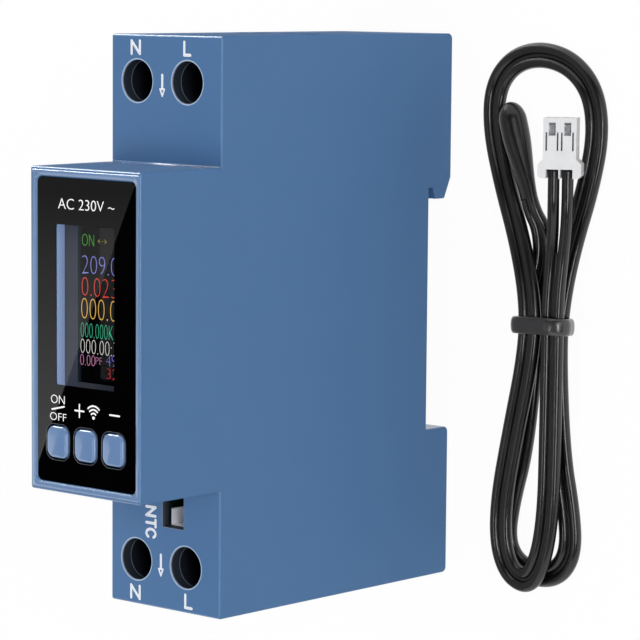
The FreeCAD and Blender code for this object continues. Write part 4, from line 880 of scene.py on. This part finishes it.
def seenDirectly(tree):
    # One for a ray from the camera, in a mirror or through glass, otherwise zero
    path = addNode(tree, "ShaderNodeLightPath")
    first = addNode(tree, "ShaderNodeMath", {"operation": "MAXIMUM"},
                    {0: path.outputs["Is Camera Ray"], 1: path.outputs["Is Glossy Ray"]})
    return addNode(tree, "ShaderNodeMath", {"operation": "MAXIMUM"},
                   {0: first.outputs["Value"], 1: path.outputs["Is Transmission Ray"]}).outputs["Value"]


def makeWorld():
    world = bpy.data.worlds.new("whiteStudio")
    world.use_nodes = True
    tree = world.node_tree
    tree.nodes.clear()
    soft = addNode(tree, "ShaderNodeBackground", {"Color": linear("#ffffff"), "Strength": studio["ambient"]})
    white = addNode(tree, "ShaderNodeBackground", {"Color": linear("#ffffff"), "Strength": 1.0})
    mixed = addNode(tree, "ShaderNodeMixShader", {}, {0: seenDirectly(tree), 1: soft.outputs["Background"],
                                                      2: white.outputs["Background"]})
    addNode(tree, "ShaderNodeOutputWorld", {}, {"Surface": mixed.outputs["Shader"]})
    bpy.context.scene.world = world


def makeFloor():
    # Flat square, one cell; its finish is mostly plain white to the eye and keeps a share of its shadow
    half, level = studio["floorHalf"], studio["floorLevel"]*mm
    corners = [(-half, -half, level), (half, -half, level), (half, half, level), (-half, half, level)]
    mesh = bpy.data.meshes.new("studioFloor")
    mesh.from_pydata(corners, [], [(0, 1, 2, 3)])
    floor = bpy.data.objects.new("studioFloor", mesh)
    bpy.context.scene.collection.objects.link(floor)
    material = bpy.data.materials.new("paleStudioFloor")
    material.use_nodes = True
    tree = material.node_tree
    tree.nodes.clear()
    paint = addNode(tree, "ShaderNodeBsdfDiffuse", {"Color": linear(studio["floorShade"])})
    white = addNode(tree, "ShaderNodeEmission", {"Strength": 1.0})
    share = addNode(tree, "ShaderNodeMath", {"operation": "MULTIPLY", 1: studio["floorShow"]}, {0: seenDirectly(tree)})
    mixed = addNode(tree, "ShaderNodeMixShader", {}, {0: share.outputs["Value"], 1: paint.outputs["BSDF"],
                                                      2: white.outputs["Emission"]})
    addNode(tree, "ShaderNodeOutputMaterial", {}, {"Surface": mixed.outputs["Shader"]})
    mesh.materials.append(material)


def makeLamps():
    for name, (direction, distance, size, power) in studio["lamps"].items():
        data = bpy.data.lights.new(name, "AREA")
        data.size = size
        data.energy = power
        holder = bpy.data.objects.new(name, data)
        bpy.context.scene.collection.objects.link(holder)
        away = Matrix.Translation(direction).translation.normalized()
        place = Matrix.Translation(studio["aim"]).translation + away*distance
        holder.matrix_world = Matrix.Translation(place) @ away.to_track_quat("Z", "Y").to_matrix().to_4x4()


def setCard(name, corners, finish):
    # Card in metres that only mirrors see
    mesh = bpy.data.meshes.new(name)
    mesh.from_pydata(np.array(corners).tolist(), [], [(0, 1, 2, 3)])
    mesh.materials.append(finish)
    card = bpy.data.objects.new(name, mesh)
    bpy.context.scene.collection.objects.link(card)
    card.visible_camera = card.visible_diffuse = card.visible_shadow = False
    card.visible_transmission = card.visible_volume_scatter = False


def makeCards():
    for name, (direction, away, wide, high, glow) in studio["cards"].items():
        back = np.array(direction)/np.linalg.norm(direction)
        right = np.cross((0, 1, 0), back)
        right *= wide/np.linalg.norm(right)
        up = np.cross(back, right)
        up *= high/np.linalg.norm(up)
        middle = np.array(studio["aim"]) + back*away
        corners = [middle - right - up, middle + right - up, middle + right + up, middle - right + up]
        setCard(name, corners, makeGlow(name, glow))
    # The side card: a grey painted reflection just off the case's side
    x, half, low, high, glow = studio["sideCard"]
    setCard("sideCard", [(x, -half, low), (x, half, low), (x, half, high), (x, -half, high)],
            makeGlow("sideCard", glow))
    # The roof cards: a blue painted reflection just off the case's top faces
    left, right = studio["roofSpan"]
    for name, (y, low, high) in studio["roofs"].items():
        setCard(name, [(left, y, low), (right, y, low), (right, y, high), (left, y, high)],
                makeGlow(name, 1.0, studio["paintedRoofReflection"]))


def makeGlareCard(name, finish, side, away):
    # Camera rays to two points of the panel, mirrored in its face, run to the card's slanted edge
    camera = np.array(cameraView["place"])/mm
    edge = np.array([(x, y, panelPrint["plane"]) for x, y in studio["cardEdge"]])
    ray = edge - camera
    ray /= np.linalg.norm(ray, axis=1)[:, None]
    ray[:, 2] *= -1
    ends = edge + ray*away
    along = ends[0] - ends[1]
    along /= np.linalg.norm(along)
    aside = np.cross(along, ray.mean(0))
    aside *= side*np.sign(aside[0])/np.linalg.norm(aside)
    reach = studio["cardReach"]
    start, end = ends[0] + along*reach, ends[1] - along*reach
    setCard(name, np.array([start, end, end + aside*reach, start + aside*reach])*mm, finish)


def makeGlow(name, glow, shade="#ffffff"):
    # Plain light of one strength and colour
    material = bpy.data.materials.new(name)
    material.use_nodes = True
    material.node_tree.nodes.clear()
    light = addNode(material.node_tree, "ShaderNodeEmission", {"Strength": glow, "Color": linear(shade)})
    addNode(material.node_tree, "ShaderNodeOutputMaterial", {}, {"Surface": light.outputs["Emission"]})
    return material


def makeGradedCard():
    # Lit card whose light fades with height
    material = bpy.data.materials.new("gradedCard")
    material.use_nodes = True
    tree = material.node_tree
    tree.nodes.clear()
    place = addNode(tree, "ShaderNodeTexCoord").outputs["Object"]
    height = addNode(tree, "ShaderNodeSeparateXYZ", {}, {0: place}).outputs["Y"]
    (lowY, lowGlow), (highY, highGlow) = studio["cardGlow"]
    glow = addNode(tree, "ShaderNodeMapRange", {"From Min": lowY, "From Max": highY, "To Min": lowGlow,
                                                "To Max": highGlow}, {"Value": height})
    light = addNode(tree, "ShaderNodeEmission", {}, {"Strength": glow.outputs["Result"]})
    addNode(tree, "ShaderNodeOutputMaterial", {}, {"Surface": light.outputs["Emission"]})
    return material


makeWorld()
makeFloor()
makeLamps()
makeCards()
makeGlareCard("blackFlag", makeGlow("blackFlag", 0.0), 1, studio["cardAway"] - 1)
makeGlareCard("gradedCard", makeGradedCard(), -1, studio["cardAway"])
bpy.context.scene.view_settings.view_transform = "Standard"
print("studio set")
